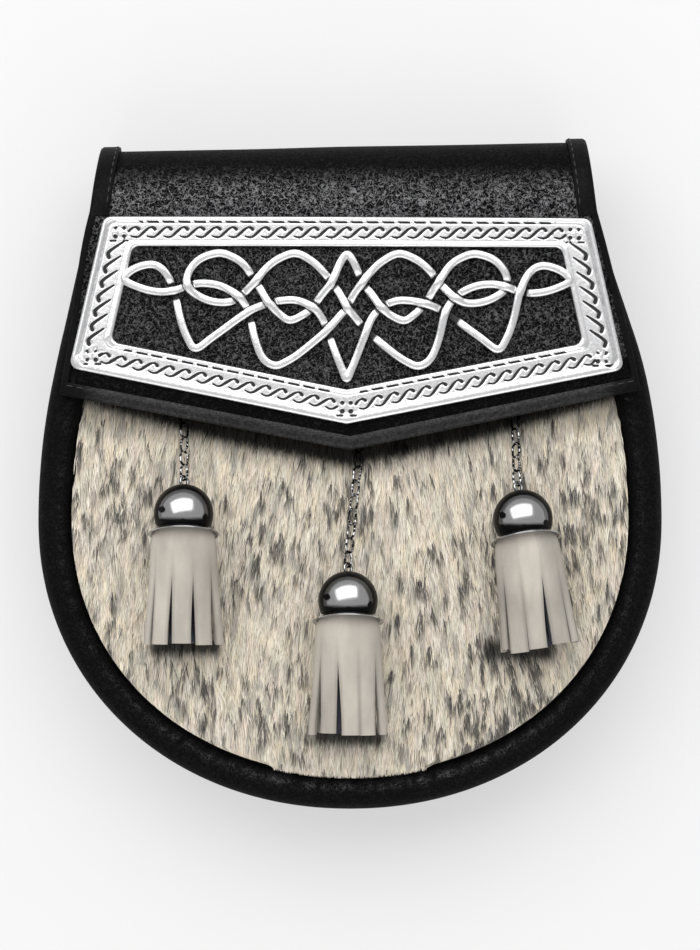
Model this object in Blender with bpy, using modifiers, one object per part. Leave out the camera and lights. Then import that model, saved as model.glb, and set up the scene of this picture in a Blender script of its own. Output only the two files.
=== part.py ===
"""A sporran pouch: a round leather pouch with a fur front, a folded flap that carries a pierced
metal cantle, and three leather tassels hanging on chains.

Metres, +Z up. The pouch lies on the rolled rim of its back with its front upwards and its mouth
towards +Y. The origin is the middle of its footprint.
"""

import math

import bmesh
import bpy
from mathutils import Matrix, Vector

# Outline of the body, seen from the front
BODY_HALF_WIDTH = 0.09515
LOWER_HEIGHT = 0.0881
LOWER_ROUNDNESS = 2.08
WIDEST_Y = -0.0144
SIDE_RADIUS = 0.207
SIDE_TOP_Y = 0.0440
SIDE_TAPER = 0.281
SHOULDER_Y = 0.0791
TOP_TAPER = 0.136
FOLD_TOP_Y = 0.0989
RIM_TOP_Y = 0.0700
LOWER_SHARE = 0.62

# The worn lean of the top: sideways, and one shoulder higher than the other
TOP_LEAN = -0.0020
TOP_RISE = 0.0017
LEAN_FROM_Y = 0.0270

# Leathers, gaps and the depth of the pouch
GAP = 0.0003
SEAM = 0.0006
LEATHER = 0.0024
PANEL_LEATHER = 0.0020
BINDING_LEATHER = 0.0010
BINDING_LIP = 0.0028
BINDING_SIDE_LIP = 0.0007
GUSSET_DEPTH = 0.0178
GUSSET_PLEAT = 0.0025
GUSSET_INSET = 0.0040
CROWN = 0.0040

# Rolled rims
FRONT_RIM_WIDTH = 0.0105
FRONT_RIM_HEIGHT = 0.0074
RIM_PUCKER = 0.0008
BACK_RIM_WIDTH = 0.0070
BACK_RIM_INSET = 0.0010

# Belt loops on the back
LOOP_LEATHER = 0.0020
LOOP_OPENING = 0.0043
LOOP_WIDTH = 0.0160
LOOP_LENGTH = 0.0420
LOOP_FOOT = 0.0055
LOOP_X = 0.0420
LOOP_Y = 0.0420
LOOP_FLOOR_GAP = 0.0002

# Flap
FLAP_CORNER_Y = 0.0242
FLAP_POINT_Y = 0.0070
FLAP_SLOPE = 0.0077
FLAP_TUCK = 0.0036
STUD_RADIUS = 0.0055
STUD_Y = 0.0400

# Fur
FUR_FULL = 0.0062
FUR_PRESSED = 0.0021
FUR_RISE = 0.0140
FUR_LOCK = 0.0005

# Cantle plate, in its own frame: x from its middle line, y as the body's
PLATE_X = -0.0011
PLATE_TURN = math.radians(-0.2)
PLATE_TOP_MARGIN = 0.00209
PLATE_WIDE_MARGIN = 0.00207
PLATE_TOP_Y = 0.0776
PLATE_CORNER_Y = 0.0315
PLATE_POINT_Y = 0.0147
PLATE_CORNER_RADIUS = 0.0030
PLATE_THICKNESS = 0.0016
BORDER_TOP = 0.0092
BORDER_SIDE = 0.0109
BORDER_LOW = 0.0105
OPENING_RADIUS = 0.0030
ROPE_PITCH = 0.0051
ROPE_WIDTH = 0.0032
ROPE_HEIGHT = 0.0007
ROPE_SLANT = math.radians(38)
STRAND_WIDTH = 0.0021
STRAND_HEIGHT = 0.0011
STRAND_STEP = 0.0013

# Tassels, their bells and chains
BELL_RADIUS = 0.0086
BELL_BRIM_RADIUS = 0.0112
BELL_LENGTH = 0.0152
BELL_WALL = 0.0008
BELL_TIP = math.radians(14)
EYE_RADIUS = 0.0015
EYE_WIRE = 0.0009
TASSEL_STRIPS = 9
TASSEL_HALF_WIDTH = 0.0123
TASSEL_HALF_DEPTH = 0.0066
TASSEL_GROOVE = 0.0011
LINK_LENGTH = 0.0055
LINK_WIDTH = 0.0036
LINK_WIRE = 0.00075
LINK_BITE = 0.00030
STAPLE_RADIUS = 0.0028
STAPLE_THICKNESS = 0.0008

# One row a tassel: name, top of the bell x and y, turn to the right in degrees, length of its
# strips, x of the chain's hidden end, all as shares of the body's half width, and its links
TASSELS = (
    ("left", -0.5276, -0.0378, 0.0, 0.3489, -0.5307, 5),
    ("centre", -0.0063, -0.3142, 0.0, 0.3594, 0.0315, 9),
    ("right", 0.5360, -0.0568, 8.0, 0.3468, 0.5286, 5),
)

# Sections of the rims: share across from the outer edge, share of the height
FRONT_RIM_SECTION = (
    (0.00, 0.44), (0.05, 0.70), (0.24, 0.94), (0.50, 1.00), (0.78, 0.90),
    (1.00, 0.50), (1.00, 0.00), (0.10, 0.00),
)
BACK_RIM_SECTION = (
    (0.00, 0.36), (0.09, 0.10), (0.30, 0.00), (0.70, 0.00), (0.92, 0.10),
    (1.00, 0.36), (1.00, 1.00), (0.22, 1.00), (0.04, 0.76),
)

# Sections of a tassel: share of the length, of the half width, of the half depth, height of its
# middle over the fur as a share of the brim's radius
TASSEL_SECTIONS = (
    (-0.12, 0.56, 1.02, 0.90),
    (0.00, 0.61, 1.07, 0.98),
    (0.16, 0.79, 1.30, 0.95),
    (0.55, 0.88, 1.14, 0.74),
    (1.00, 1.00, 1.00, 0.64),
)

# The knot, which is one endless strand. These rows are the part left of the middle line: across
# from the middle, down from the top of the opening, and 1 where the strand passes over another
# or -1 where it passes under. The right part mirrors them with over and under exchanged.
KNOT_ACROSS = 233
KNOT_DOWN = 142
KNOT_LOOPS = (
    (0, 4, 0), (7, 13, 0), (15, 33, 1), (25, 47, 0), (34, 60, -1), (43, 68, 0), (56, 74, 0),
    (66, 68, 0), (77, 56, 1), (85, 42, 0), (91, 32, -1), (102, 15, 0), (115, 6, 0), (128, 3, 0),
    (145, 9, 0), (156, 22, 0), (158, 37, 1), (149, 47, 0), (134, 54, 0), (118, 55, 0),
    (106, 49, -1), (90, 32, 1), (81, 20, 0), (68, 9, 0), (51, 3, 0), (35, 11, 0), (23, 23, 0),
    (15, 34, -1), (7, 46, 0),
)
KNOT_CENTRE = (0, 60)
KNOT_LEGS = (
    (6, 68, 0), (20, 85, 1), (43, 106, 0), (58, 117, 0), (71, 122, 0), (83, 114, 0), (91, 93, 0),
    (97, 66, -1), (106, 50, 1), (118, 41, 0), (131, 36, 0), (146, 35, 0), (158, 38, -1),
    (172, 43, 1), (187, 44, 0), (204, 40, 0), (226, 31, 0), (211, 20, 0), (193, 15, 0),
    (180, 23, 0), (171, 43, -1), (165, 71, 0), (158, 92, 0), (149, 104, 0), (131, 91, 0),
    (97, 65, 1), (77, 56, -1), (64, 53, 0), (49, 53, 0), (34, 60, 1), (25, 71, 0), (19, 86, -1),
    (11, 109, 0), (5, 125, 0),
)
KNOT_FOOT = (0, 136)

# Numbers of rows and columns that the forms are built with
SHEET_COLUMNS = 8
BACK_ROWS = 8
FOLD_ROWS = 8
FRONT_ROWS = 5
PANEL_COLUMNS = 6
PANEL_ROWS = 8
FUR_COLUMNS = 10
FUR_ROWS = 14
RIM_STATIONS = 20
BACK_RIM_STATIONS = 14
GUSSET_STATIONS = 23
PLATE_CUTS = 7
BELL_SIDES = 13

# Heights that follow from the leathers, from the floor up
LOOP_INNER_Z = LOOP_FLOOR_GAP + LOOP_LEATHER
BACK_Z = LOOP_INNER_Z + LOOP_OPENING
BACK_INNER_Z = BACK_Z + LEATHER
GUSSET_Z = BACK_INNER_Z + 3 * GAP
PANEL_Z = GUSSET_Z + GUSSET_DEPTH + 2 * GAP
FRONT_Z = PANEL_Z + PANEL_LEATHER + GAP
FLAP_Z = FRONT_Z + FRONT_RIM_HEIGHT + GAP + BINDING_LEATHER + GAP + LEATHER / 2
BINDING_REACH = GAP + BINDING_LEATHER


def clear_scene():
    for thing in list(bpy.data.objects):
        bpy.data.objects.remove(thing, do_unlink=True)


def new_collection(name):
    collection = bpy.data.collections.new(name)
    bpy.context.scene.collection.children.link(collection)
    return collection


def finish(name, colour, roughness, metallic=0.0):
    """A plain material with the colour and gloss of the real piece."""
    material = bpy.data.materials.new(name)
    material.use_nodes = True
    shader = material.node_tree.nodes["Principled BSDF"]
    shader.inputs["Base Color"].default_value = (*colour, 1.0)
    shader.inputs["Roughness"].default_value = roughness
    shader.inputs["Metallic"].default_value = metallic
    return material


def add_piece(name, shape, material, collection):
    """Makes an object of a bmesh."""
    bmesh.ops.recalc_face_normals(shape, faces=shape.faces)
    mesh = bpy.data.meshes.new(name)
    shape.to_mesh(mesh)
    shape.free()
    mesh.materials.append(material)
    mesh.shade_smooth()
    mesh.set_sharp_from_angle(angle=math.radians(40))
    piece = bpy.data.objects.new(name, mesh)
    collection.objects.link(piece)
    return piece


def apply_modifiers(piece):
    graph = bpy.context.evaluated_depsgraph_get()
    mesh = bpy.data.meshes.new_from_object(piece.evaluated_get(graph))
    piece.modifiers.clear()
    piece.data = mesh


def fuse(piece, others):
    """Joins other solids to this one, so that they are one body."""
    for other in others:
        joining = piece.modifiers.new(other.name, "BOOLEAN")
        joining.operation = "UNION"
        joining.use_self = True
        joining.object = other
    apply_modifiers(piece)
    for other in others:
        bpy.data.objects.remove(other, do_unlink=True)
    return piece


def tidy(piece):
    """Joins the hair-thin edges that a union leaves."""
    shape = bmesh.new()
    shape.from_mesh(piece.data)
    bmesh.ops.dissolve_degenerate(shape, dist=2e-6, edges=shape.edges)
    bmesh.ops.remove_doubles(shape, verts=shape.verts, dist=2e-6)
    shape.to_mesh(piece.data)
    shape.free()


def ramp(value, low, high):
    """0 below low, 1 above high and a smooth rise between them."""
    share = min(1.0, max(0.0, (value - low) / (high - low)))
    return share * share * (3 - 2 * share)


def mix(first, second, share):
    return first + (second - first) * share


def leaned(point):
    """Moves a point of the body with the lean of its top."""
    side = TOP_LEAN * ramp(point.y, LEAN_FROM_Y, SHOULDER_Y)
    rise = TOP_RISE * ramp(point.y, SHOULDER_Y, FOLD_TOP_Y) * point.x / BODY_HALF_WIDTH
    return Vector((point.x + side, point.y + rise, point.z))


def half_width(y):
    """Half the width of the body at a height."""
    if y < WIDEST_Y:
        fall = min(1.0, (WIDEST_Y - y) / LOWER_HEIGHT)
        return BODY_HALF_WIDTH * (1 - fall**LOWER_ROUNDNESS) ** (1 / LOWER_ROUNDNESS)
    reach = min(y, SIDE_TOP_Y) - WIDEST_Y
    side = BODY_HALF_WIDTH - SIDE_RADIUS + math.sqrt(SIDE_RADIUS**2 - reach**2)
    taper = SIDE_TAPER * max(0.0, min(y, SHOULDER_Y) - SIDE_TOP_Y)
    return side - taper - TOP_TAPER * max(0.0, y - SHOULDER_Y)


def lower_point(share):
    """Point of the lower outline: 0 is the lowest point and 1 the widest."""
    turn = math.pi / 2 * (1 - share)
    power = 2 / LOWER_ROUNDNESS
    across = math.copysign(abs(math.cos(turn)) ** power, math.cos(turn))
    return Vector((BODY_HALF_WIDTH * across, WIDEST_Y - LOWER_HEIGHT * math.sin(turn) ** power))


def outline_point(share, top_y):
    """Point of the right half of the outline: 0 is the lowest point and 1 is at top_y."""
    if share < LOWER_SHARE:
        return lower_point(share / LOWER_SHARE)
    y = mix(WIDEST_Y, top_y, (share - LOWER_SHARE) / (1 - LOWER_SHARE))
    return Vector((half_width(y), y))


def inset_point(share, top_y, inset):
    """The same point moved in from the outline. Shares below 0 give the left half."""
    side = -1 if share < 0 else 1
    share = abs(share)
    step = 1e-4
    along = outline_point(share + step, top_y) - outline_point(share - step, top_y)
    inward = Vector((-along.y, along.x)).normalized()
    point = outline_point(share, top_y) + inward * inset
    return Vector((side * point.x, point.y))


def crown(x, y):
    """How far the front stands out: most in the middle, and not at all on the outline."""
    across = 1 - min(1.0, abs(x) / max(half_width(y), 1e-6)) ** 2
    fall = max(0.0, (WIDEST_Y - y) / LOWER_HEIGHT)
    return CROWN * across * (1 - fall * fall)


def flap_half(y):
    """Half the width of the leather of the flap."""
    tuck = FLAP_TUCK * (1 - ramp(y, FLAP_CORNER_Y, SHOULDER_Y))
    return half_width(y) - BINDING_REACH - tuck


def flap_middle_z(x):
    """Height of the middle of the flap's leather."""
    return FLAP_Z + crown(x, WIDEST_Y) - crown(flap_half(FLAP_CORNER_Y), WIDEST_Y)


def flap_edge_y(x):
    """Lower edge of the flap's leather."""
    share = min(1.0, abs(x) / flap_half(FLAP_CORNER_Y))
    return mix(FLAP_POINT_Y, FLAP_CORNER_Y, share) + FLAP_SLOPE * x + BINDING_REACH


def sheet_place(u, v):
    """The back panel, its fold over the top and the flap, as one skin. v runs from the bottom of
    the back, over the fold, to the flap's lower edge."""
    row = v * (BACK_ROWS + FOLD_ROWS + FRONT_ROWS)
    side = 2 * u - 1
    back_middle = (BACK_Z + BACK_INNER_Z) / 2
    edge_x = flap_half(SHOULDER_Y)
    radius = (flap_middle_z(side * edge_x) - back_middle) / 2
    fold_y = FOLD_TOP_Y - radius
    if row < BACK_ROWS:
        share = max(0.05, row / (BACK_ROWS - 1))
        inset = BACK_RIM_INSET + BACK_RIM_WIDTH + SEAM
        point = inset_point(min(share, 1.0), RIM_TOP_Y + GAP, inset)
        outer = Vector((flap_half(fold_y), fold_y))
        point = point.lerp(outer, max(0.0, row - BACK_ROWS + 1))
        return leaned(Vector((side * point.x, point.y, back_middle)))
    if row <= BACK_ROWS + FOLD_ROWS:
        turn = math.pi * (row - BACK_ROWS) / FOLD_ROWS
        y = fold_y + radius * math.sin(turn)
        z = back_middle + radius * (1 - math.cos(turn))
        return leaned(Vector((side * flap_half(y), y, z)))
    share = (row - BACK_ROWS - FOLD_ROWS) / FRONT_ROWS
    edge = flap_edge_y(side * flap_half(FLAP_CORNER_Y))
    y = mix(fold_y, edge, share)
    x = side * flap_half(mix(fold_y, FLAP_CORNER_Y, share))
    return leaned(Vector((x, y, flap_middle_z(x))))


def panel_place(u, v):
    """Middle of the front panel's leather, inside the front rim."""
    point = inset_point(mix(0.05, 1.0, v), RIM_TOP_Y, FRONT_RIM_WIDTH + SEAM)
    x = (2 * u - 1) * point.x
    return leaned(Vector((x, point.y, PANEL_Z + PANEL_LEATHER / 2 + crown(x, point.y))))


def fur_thickness(x, y):
    """The fur is pressed flat under the flap and stands up below it."""
    below = flap_edge_y(x) - BINDING_REACH - y
    return mix(FUR_PRESSED, FUR_FULL, ramp(below, FUR_RISE * 0.15, FUR_RISE))


def fur_place(u, v, top):
    """A point of the hide, or of the locks that lie over it like shingles."""
    point = inset_point(mix(0.03, 1.0, v), RIM_TOP_Y, FRONT_RIM_WIDTH + SEAM)
    x = (2 * u - 1) * point.x
    z = FRONT_Z + crown(x, point.y)
    if top:
        edge = max(abs(2 * u - 1) ** 8, (1 - v) ** 12)
        raised = (round(u * FUR_COLUMNS) + round(v * FUR_ROWS)) % 2
        z += fur_thickness(x, point.y) * (1 - 0.3 * edge) + FUR_LOCK * (2 * raised - 1)
    return leaned(Vector((x, point.y, z)))


def grid(columns, rows, place):
    """A skin of columns x rows faces, with each corner where place(u, v) says."""
    shape = bmesh.new()
    bmesh.ops.create_grid(shape, x_segments=columns, y_segments=rows, size=0.5)
    for corner in shape.verts:
        corner.co = place(corner.co.x + 0.5, corner.co.y + 0.5)
    return shape


def leather_sheet(name, columns, rows, place, thickness, material, collection):
    """A skin given its thickness to both sides."""
    piece = add_piece(name, grid(columns, rows, place), material, collection)
    wall = piece.modifiers.new("wall", "SOLIDIFY")
    wall.thickness = thickness
    wall.offset = 0.0
    return piece


def loft(sections, looped=False):
    """Joins sections with the same number of points into one closed solid."""
    shape = bmesh.new()
    rings = [[shape.verts.new(point) for point in section] for section in sections]
    ahead = rings[1:] + rings[:1] if looped else rings[1:]
    for near, far in zip(rings, ahead):
        for i, corner in enumerate(near):
            j = (i + 1) % len(near)
            shape.faces.new((corner, near[j], far[j], far[i]))
    if not looped:
        shape.faces.new(rings[0])
        shape.faces.new(rings[-1])
    return shape


def rim(name, section, width, height, inset, base_z, stations, pucker, material, collection):
    """A rolled rim round the sides and bottom of the body."""
    sections = []
    for i in range(-stations, stations + 1):
        share = i / stations
        gathered = pucker * (1 - ramp(abs(share), 0.3, 0.75)) * (i % 2)
        corners = []
        for across, up in section:
            point = inset_point(share, RIM_TOP_Y, inset + across * width)
            sunk = gathered * ramp(across, 0.3, 0.76) * (up > 0.4)
            corners.append(leaned(Vector((point.x, point.y, base_z + up * height - sunk))))
        sections.append(corners)
    return add_piece(name, loft(sections), material, collection)


def build_gusset(material, collection):
    """The wall between the rims, with a shallow pleat inwards."""

    def place(u, v):
        inset = GUSSET_INSET + GUSSET_PLEAT * math.sin(math.pi * v)
        point = inset_point(2 * u - 1 or 1e-6, RIM_TOP_Y, inset)
        return leaned(Vector((point.x, point.y, GUSSET_Z + v * GUSSET_DEPTH)))

    return leather_sheet(
        "gusset", GUSSET_STATIONS, 2, place, PANEL_LEATHER, material, collection
    )


def sheet_normal(u, v):
    """Direction out of the sheet's finished side."""
    step = 1e-3
    low_u, high_u = max(0.0, u - step), min(1.0, u + step)
    low_v, high_v = max(0.0, v - step), min(1.0, v + step)
    across = sheet_place(high_u, v) - sheet_place(low_u, v)
    along = sheet_place(u, high_v) - sheet_place(u, low_v)
    return along.cross(across).normalized()


def strip_corner(normal, before, after, width_before, width_after):
    """Step out from a corner of the sheet to where the sides of a strip meet."""
    before = (before - normal * before.dot(normal)).normalized()
    after = (after - normal * after.dot(normal)).normalized()
    out_before = normal.cross(before).normalized()
    out_after = normal.cross(after).normalized()
    turn = after.dot(out_before)
    if abs(turn) < 0.15:
        return (out_before + out_after).normalized() * (width_before + width_after) / 2
    return after * (width_before / turn) + before * (width_after / before.dot(out_after))


def build_binding(material, collection):
    """A strip folded round the edge of the flap, from the back of one shoulder to the other."""
    rows = BACK_ROWS + FOLD_ROWS + FRONT_ROWS
    side = [row / rows for row in range(BACK_ROWS, rows + 1)]
    lower = [column / SHEET_COLUMNS for column in range(SHEET_COLUMNS - 1, 0, -1)]
    route = [(1.0, v) for v in side]
    route += [(u, 1.0) for u in lower]
    route += [(0.0, v) for v in reversed(side)]
    points = [sheet_place(u, v) for u, v in route]
    legs = [(after - point).normalized() for point, after in zip(points, points[1:])]
    lips = [BINDING_LIP if u_v[1] == 1.0 and after[1] == 1.0 else BINDING_SIDE_LIP
            for u_v, after in zip(route, route[1:])]
    near = LEATHER / 2 + GAP
    far = near + BINDING_LEATHER
    sections = []
    for i, point in enumerate(points):
        low, high = max(0, i - 1), min(len(legs) - 1, i)
        normal = sheet_normal(*route[i])
        lip = strip_corner(normal, legs[low], legs[high], -lips[low], -lips[high])
        gap = strip_corner(normal, legs[low], legs[high], GAP, GAP)
        edge = strip_corner(normal, legs[low], legs[high], BINDING_REACH, BINDING_REACH)
        steps = (
            lip - normal * far, edge - normal * far, edge + normal * far, lip + normal * far,
            lip + normal * near, gap + normal * near, gap - normal * near, lip - normal * near,
        )
        sections.append([point + step for step in steps])
    return add_piece("flap_binding", loft(sections), material, collection)


def build_fur(material, collection):
    """The hide with its locks: the underside lies on the front panel."""
    shape = grid(FUR_COLUMNS, FUR_ROWS, lambda u, v: Vector((u, v, 0)))
    top = bmesh.ops.extrude_face_region(shape, geom=shape.faces[:])["geom"]
    upper = {corner for corner in top if isinstance(corner, bmesh.types.BMVert)}
    for corner in shape.verts:
        corner.co = fur_place(corner.co.x, corner.co.y, corner in upper)
    return add_piece("fur_panel", shape, material, collection)


def corner_lines(corners, widths):
    """Moves each side of a convex outline inwards by its width, and gives the new corners."""
    count = len(corners)
    middle = sum(corners, Vector((0, 0))) / count
    sides = []
    for i, corner in enumerate(corners):
        along = (corners[(i + 1) % count] - corner).normalized()
        inward = Vector((-along.y, along.x))
        if inward.dot(middle - corner) < 0:
            inward = -inward
        sides.append((corner + inward * widths[i], along))
    moved = []
    for i in range(count):
        start, along = sides[i - 1]
        other, across = sides[i]
        gap = other - start
        share = (gap.x * across.y - gap.y * across.x) / (along.x * across.y - along.y * across.x)
        moved.append(start + along * share)
    return moved


def rounded(corners, radius):
    """Replaces each corner with three points of a round."""
    points = []
    count = len(corners)
    for i, corner in enumerate(corners):
        back = (corners[i - 1] - corner).normalized()
        on = (corners[(i + 1) % count] - corner).normalized()
        half = back.angle(on) / 2
        reach = radius / math.tan(half)
        deep = radius / math.sin(half) - radius
        points.append(corner + back * reach)
        points.append(corner + (back + on).normalized() * deep)
        points.append(corner + on * reach)
    return points


def plate_corners():
    """Corners of the cantle plate, clockwise from the top left, and the width of the border
    along the side that starts at each."""
    top = flap_half(PLATE_TOP_Y) - PLATE_TOP_MARGIN
    wide = flap_half(PLATE_CORNER_Y) - PLATE_WIDE_MARGIN
    corners = [
        Vector((-top, PLATE_TOP_Y)),
        Vector((top, PLATE_TOP_Y)),
        Vector((wide, PLATE_CORNER_Y)),
        Vector((0.0, PLATE_POINT_Y)),
        Vector((-wide, PLATE_CORNER_Y)),
    ]
    widths = [BORDER_TOP, BORDER_SIDE, BORDER_LOW, BORDER_LOW, BORDER_SIDE]
    return corners, widths


def build_frame_plate(material, collection):
    """The flat border of the cantle: a pentagon with its opening cut out."""
    corners, widths = plate_corners()
    curve = bpy.data.curves.new("cantle_outline", "CURVE")
    curve.dimensions = "2D"
    curve.fill_mode = "BOTH"
    curve.extrude = PLATE_THICKNESS / 2
    opening = corner_lines(corners, widths)
    for outline, radius in ((corners, PLATE_CORNER_RADIUS), (opening, OPENING_RADIUS)):
        points = rounded(outline, radius)
        spline = curve.splines.new("POLY")
        spline.points.add(len(points) - 1)
        for knot, point in zip(spline.points, points):
            knot.co = (point.x, point.y, 0.0, 1.0)
        spline.use_cyclic_u = True
    outline = bpy.data.objects.new("cantle_outline", curve)
    collection.objects.link(outline)
    graph = bpy.context.evaluated_depsgraph_get()
    mesh = bpy.data.meshes.new_from_object(outline.evaluated_get(graph))
    bpy.data.objects.remove(outline, do_unlink=True)
    shape = bmesh.new()
    shape.from_mesh(mesh)
    bmesh.ops.remove_doubles(shape, verts=shape.verts, dist=1e-6)
    wide = corners[2].x
    for i in range(1, PLATE_CUTS):
        x = mix(-wide, wide, i / PLATE_CUTS)
        everything = shape.verts[:] + shape.edges[:] + shape.faces[:]
        bmesh.ops.bisect_plane(shape, geom=everything, plane_co=(x, 0, 0), plane_no=(1, 0, 0))
    for corner in shape.verts:
        corner.co.z += PLATE_THICKNESS / 2
    return add_piece("cantle_plate", shape, material, collection)


def rope_side(shape, start, end, slant):
    """A row of slanted lumps, the strokes of the rope border, between two corners."""
    along = end - start
    count = max(1, int(along.length / ROPE_PITCH) - 1)
    turn = math.atan2(along.y, along.x)
    for i in range(count):
        middle = start + along * (i + 1) / (count + 1)
        place = Matrix.Translation((middle.x, middle.y, PLATE_THICKNESS + ROPE_HEIGHT / 2 - GAP))
        stretch = Matrix.Diagonal((ROPE_PITCH * 0.62, ROPE_WIDTH * 0.33, 1.0, 1.0))
        bmesh.ops.create_cone(
            shape,
            cap_ends=True,
            segments=4,
            radius1=1.0,
            radius2=0.0,
            depth=ROPE_HEIGHT + GAP,
            matrix=place @ Matrix.Rotation(turn + slant, 4, "Z") @ stretch,
        )


def build_rope(material, collection):
    """The raised rope of the border, with a boss at each corner."""
    corners, widths = plate_corners()
    line = corner_lines(corners, [width / 2 for width in widths])
    shape = bmesh.new()
    slants = (ROPE_SLANT, ROPE_SLANT, -ROPE_SLANT, ROPE_SLANT, -ROPE_SLANT)
    for i, slant in enumerate(slants):
        rope_side(shape, line[i], line[(i + 1) % len(line)], slant)
    for corner in line:
        place = Matrix.Translation((corner.x, corner.y, PLATE_THICKNESS + ROPE_HEIGHT / 2 - GAP))
        bmesh.ops.create_cone(
            shape,
            cap_ends=True,
            segments=4,
            radius1=ROPE_WIDTH * 0.8,
            radius2=ROPE_WIDTH * 0.6,
            depth=ROPE_HEIGHT + GAP,
            matrix=place @ Matrix.Rotation(math.radians(45), 4, "Z"),
        )
    return add_piece("rope", shape, material, collection)


def knot_route():
    """The whole of the endless strand, as points with over and under heights."""
    corners, widths = plate_corners()
    opening = corner_lines(corners, widths)
    half = opening[2].x
    top = opening[0].y
    drop = top - opening[3].y
    loops = [(-across, down, level) for across, down, level in KNOT_LOOPS]
    legs = [(-across, down, level) for across, down, level in KNOT_LEGS]
    rows = loops + [(*KNOT_CENTRE, 1)]
    rows += [(-across, down, -level) for across, down, level in legs]
    rows += [(*KNOT_FOOT, 0)] + legs[::-1] + [(*KNOT_CENTRE, -1)]
    rows += [(-across, down, -level) for across, down, level in loops[:0:-1]]
    middle_z = GAP + STRAND_STEP / 2
    return [
        Vector((
            across / KNOT_ACROSS * half,
            top - down / KNOT_DOWN * drop,
            middle_z + level * STRAND_STEP / 2,
        ))
        for across, down, level in rows
    ]


def build_knot(material, collection):
    """The strand of the knot, with a flat underside and a rounded top."""
    points = knot_route()
    profile = ((-0.50, 0.0), (-0.28, 1.0), (0.28, 1.0), (0.50, 0.0))
    sections = []
    for i, point in enumerate(points):
        ahead = points[(i + 1) % len(points)] - points[i - 1]
        side = Vector((ahead.y, -ahead.x, 0)).normalized()
        sections.append([
            point + side * (across * STRAND_WIDTH) + Vector((0, 0, up * STRAND_HEIGHT))
            for across, up in profile
        ])
    return add_piece("knot", loft(sections, looped=True), material, collection)


def build_cantle(material, collection):
    """The cast plate: border, rope and knot in one body, bowed like the flap beneath it."""
    plate = build_frame_plate(material, collection)
    fuse(plate, [build_rope(material, collection), build_knot(material, collection)])
    tidy(plate)
    turn = Matrix.Rotation(PLATE_TURN, 4, "Z")
    for corner in plate.data.vertices:
        x, y, z = turn @ corner.co
        x += PLATE_X
        lean = leaned(Vector((x, y, 0))).x - x
        surface = flap_middle_z(x - lean) + LEATHER / 2 + GAP
        corner.co = Vector((x, y, z + surface))
    return plate


def height_over(surface, x, y, spread=0.0):
    """Highest point of a built surface within a small square round a place."""
    heights = []
    for column in range(-2, 3):
        for row in range(-2, 3):
            above = Vector((x + spread * column / 2, y + spread * row / 2, 1.0))
            found, place, _, _ = surface.ray_cast(above, Vector((0, 0, -1)))
            if found:
                heights.append(place.z)
    return max(heights)


def axes_at(side, forward, middle):
    """Matrix of a place with its X and Y axes."""
    matrix = Matrix.Identity(4)
    for column, vector in enumerate((side, forward, side.cross(forward), middle)):
        for row in range(3):
            matrix[row][column] = vector[row]
    return matrix


def bell_frame(tassel_row, fur):
    """Place of a bell: its brim's middle, with +Z towards the chain."""
    _, x, y, turn, _, _, _ = tassel_row
    x, y, turn = x * BODY_HALF_WIDTH, y * BODY_HALF_WIDTH, math.radians(turn)
    flat = math.cos(BELL_TIP)
    axis = Vector((-math.sin(turn) * flat, math.cos(turn) * flat, -math.sin(BELL_TIP)))
    side = Vector((math.cos(turn), math.sin(turn), 0))
    brim = Vector((x, y, 0)) - axis * BELL_LENGTH
    brim.z = height_over(fur, brim.x, brim.y, SEAM * 5) + GAP + BELL_BRIM_RADIUS
    return axes_at(side, axis.cross(side), brim)


def build_bell(tassel_row, fur, material, collection):
    """A turned bell, open at the brim, with an eye on top."""
    outer = []
    for i in range(5):
        turn = math.pi / 2 * i / 4
        outer.append((
            BELL_RADIUS * math.sin(turn),
            BELL_LENGTH - BELL_RADIUS * (1 - math.cos(turn)),
        ))
    brim_height = BELL_LENGTH - BELL_RADIUS
    outer.append((mix(BELL_RADIUS, BELL_BRIM_RADIUS, 0.25), brim_height * 0.35))
    outer.append((BELL_BRIM_RADIUS, 0.0))
    inner = [
        (BELL_BRIM_RADIUS - BELL_WALL, 0.0),
        (BELL_RADIUS - BELL_WALL, brim_height * 0.55),
        (BELL_RADIUS - BELL_WALL, brim_height),
        (0.0, BELL_LENGTH - 3 * BELL_WALL),
    ]
    shape = bmesh.new()
    corners = [shape.verts.new((r, 0, z)) for r, z in outer + inner]
    for near, far in zip(corners, corners[1:]):
        shape.edges.new((near, far))
    bell = add_piece("cap_" + tassel_row[0], shape, material, collection)
    turned = bell.modifiers.new("turned", "SCREW")
    turned.steps = turned.render_steps = BELL_SIDES
    turned.use_merge_vertices = True
    turned.merge_threshold = 1e-5
    apply_modifiers(bell)
    eye = ring(EYE_RADIUS, EYE_WIRE, 8, material, collection)
    upright = Matrix.Rotation(math.radians(45), 4, "Z") @ Matrix.Rotation(math.radians(90), 4, "X")
    eye.data.transform(Matrix.Translation((0, 0, BELL_LENGTH + EYE_RADIUS * 0.75)) @ upright)
    fuse(bell, [eye])
    bell.data.transform(bell_frame(tassel_row, fur))
    return bell


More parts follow.
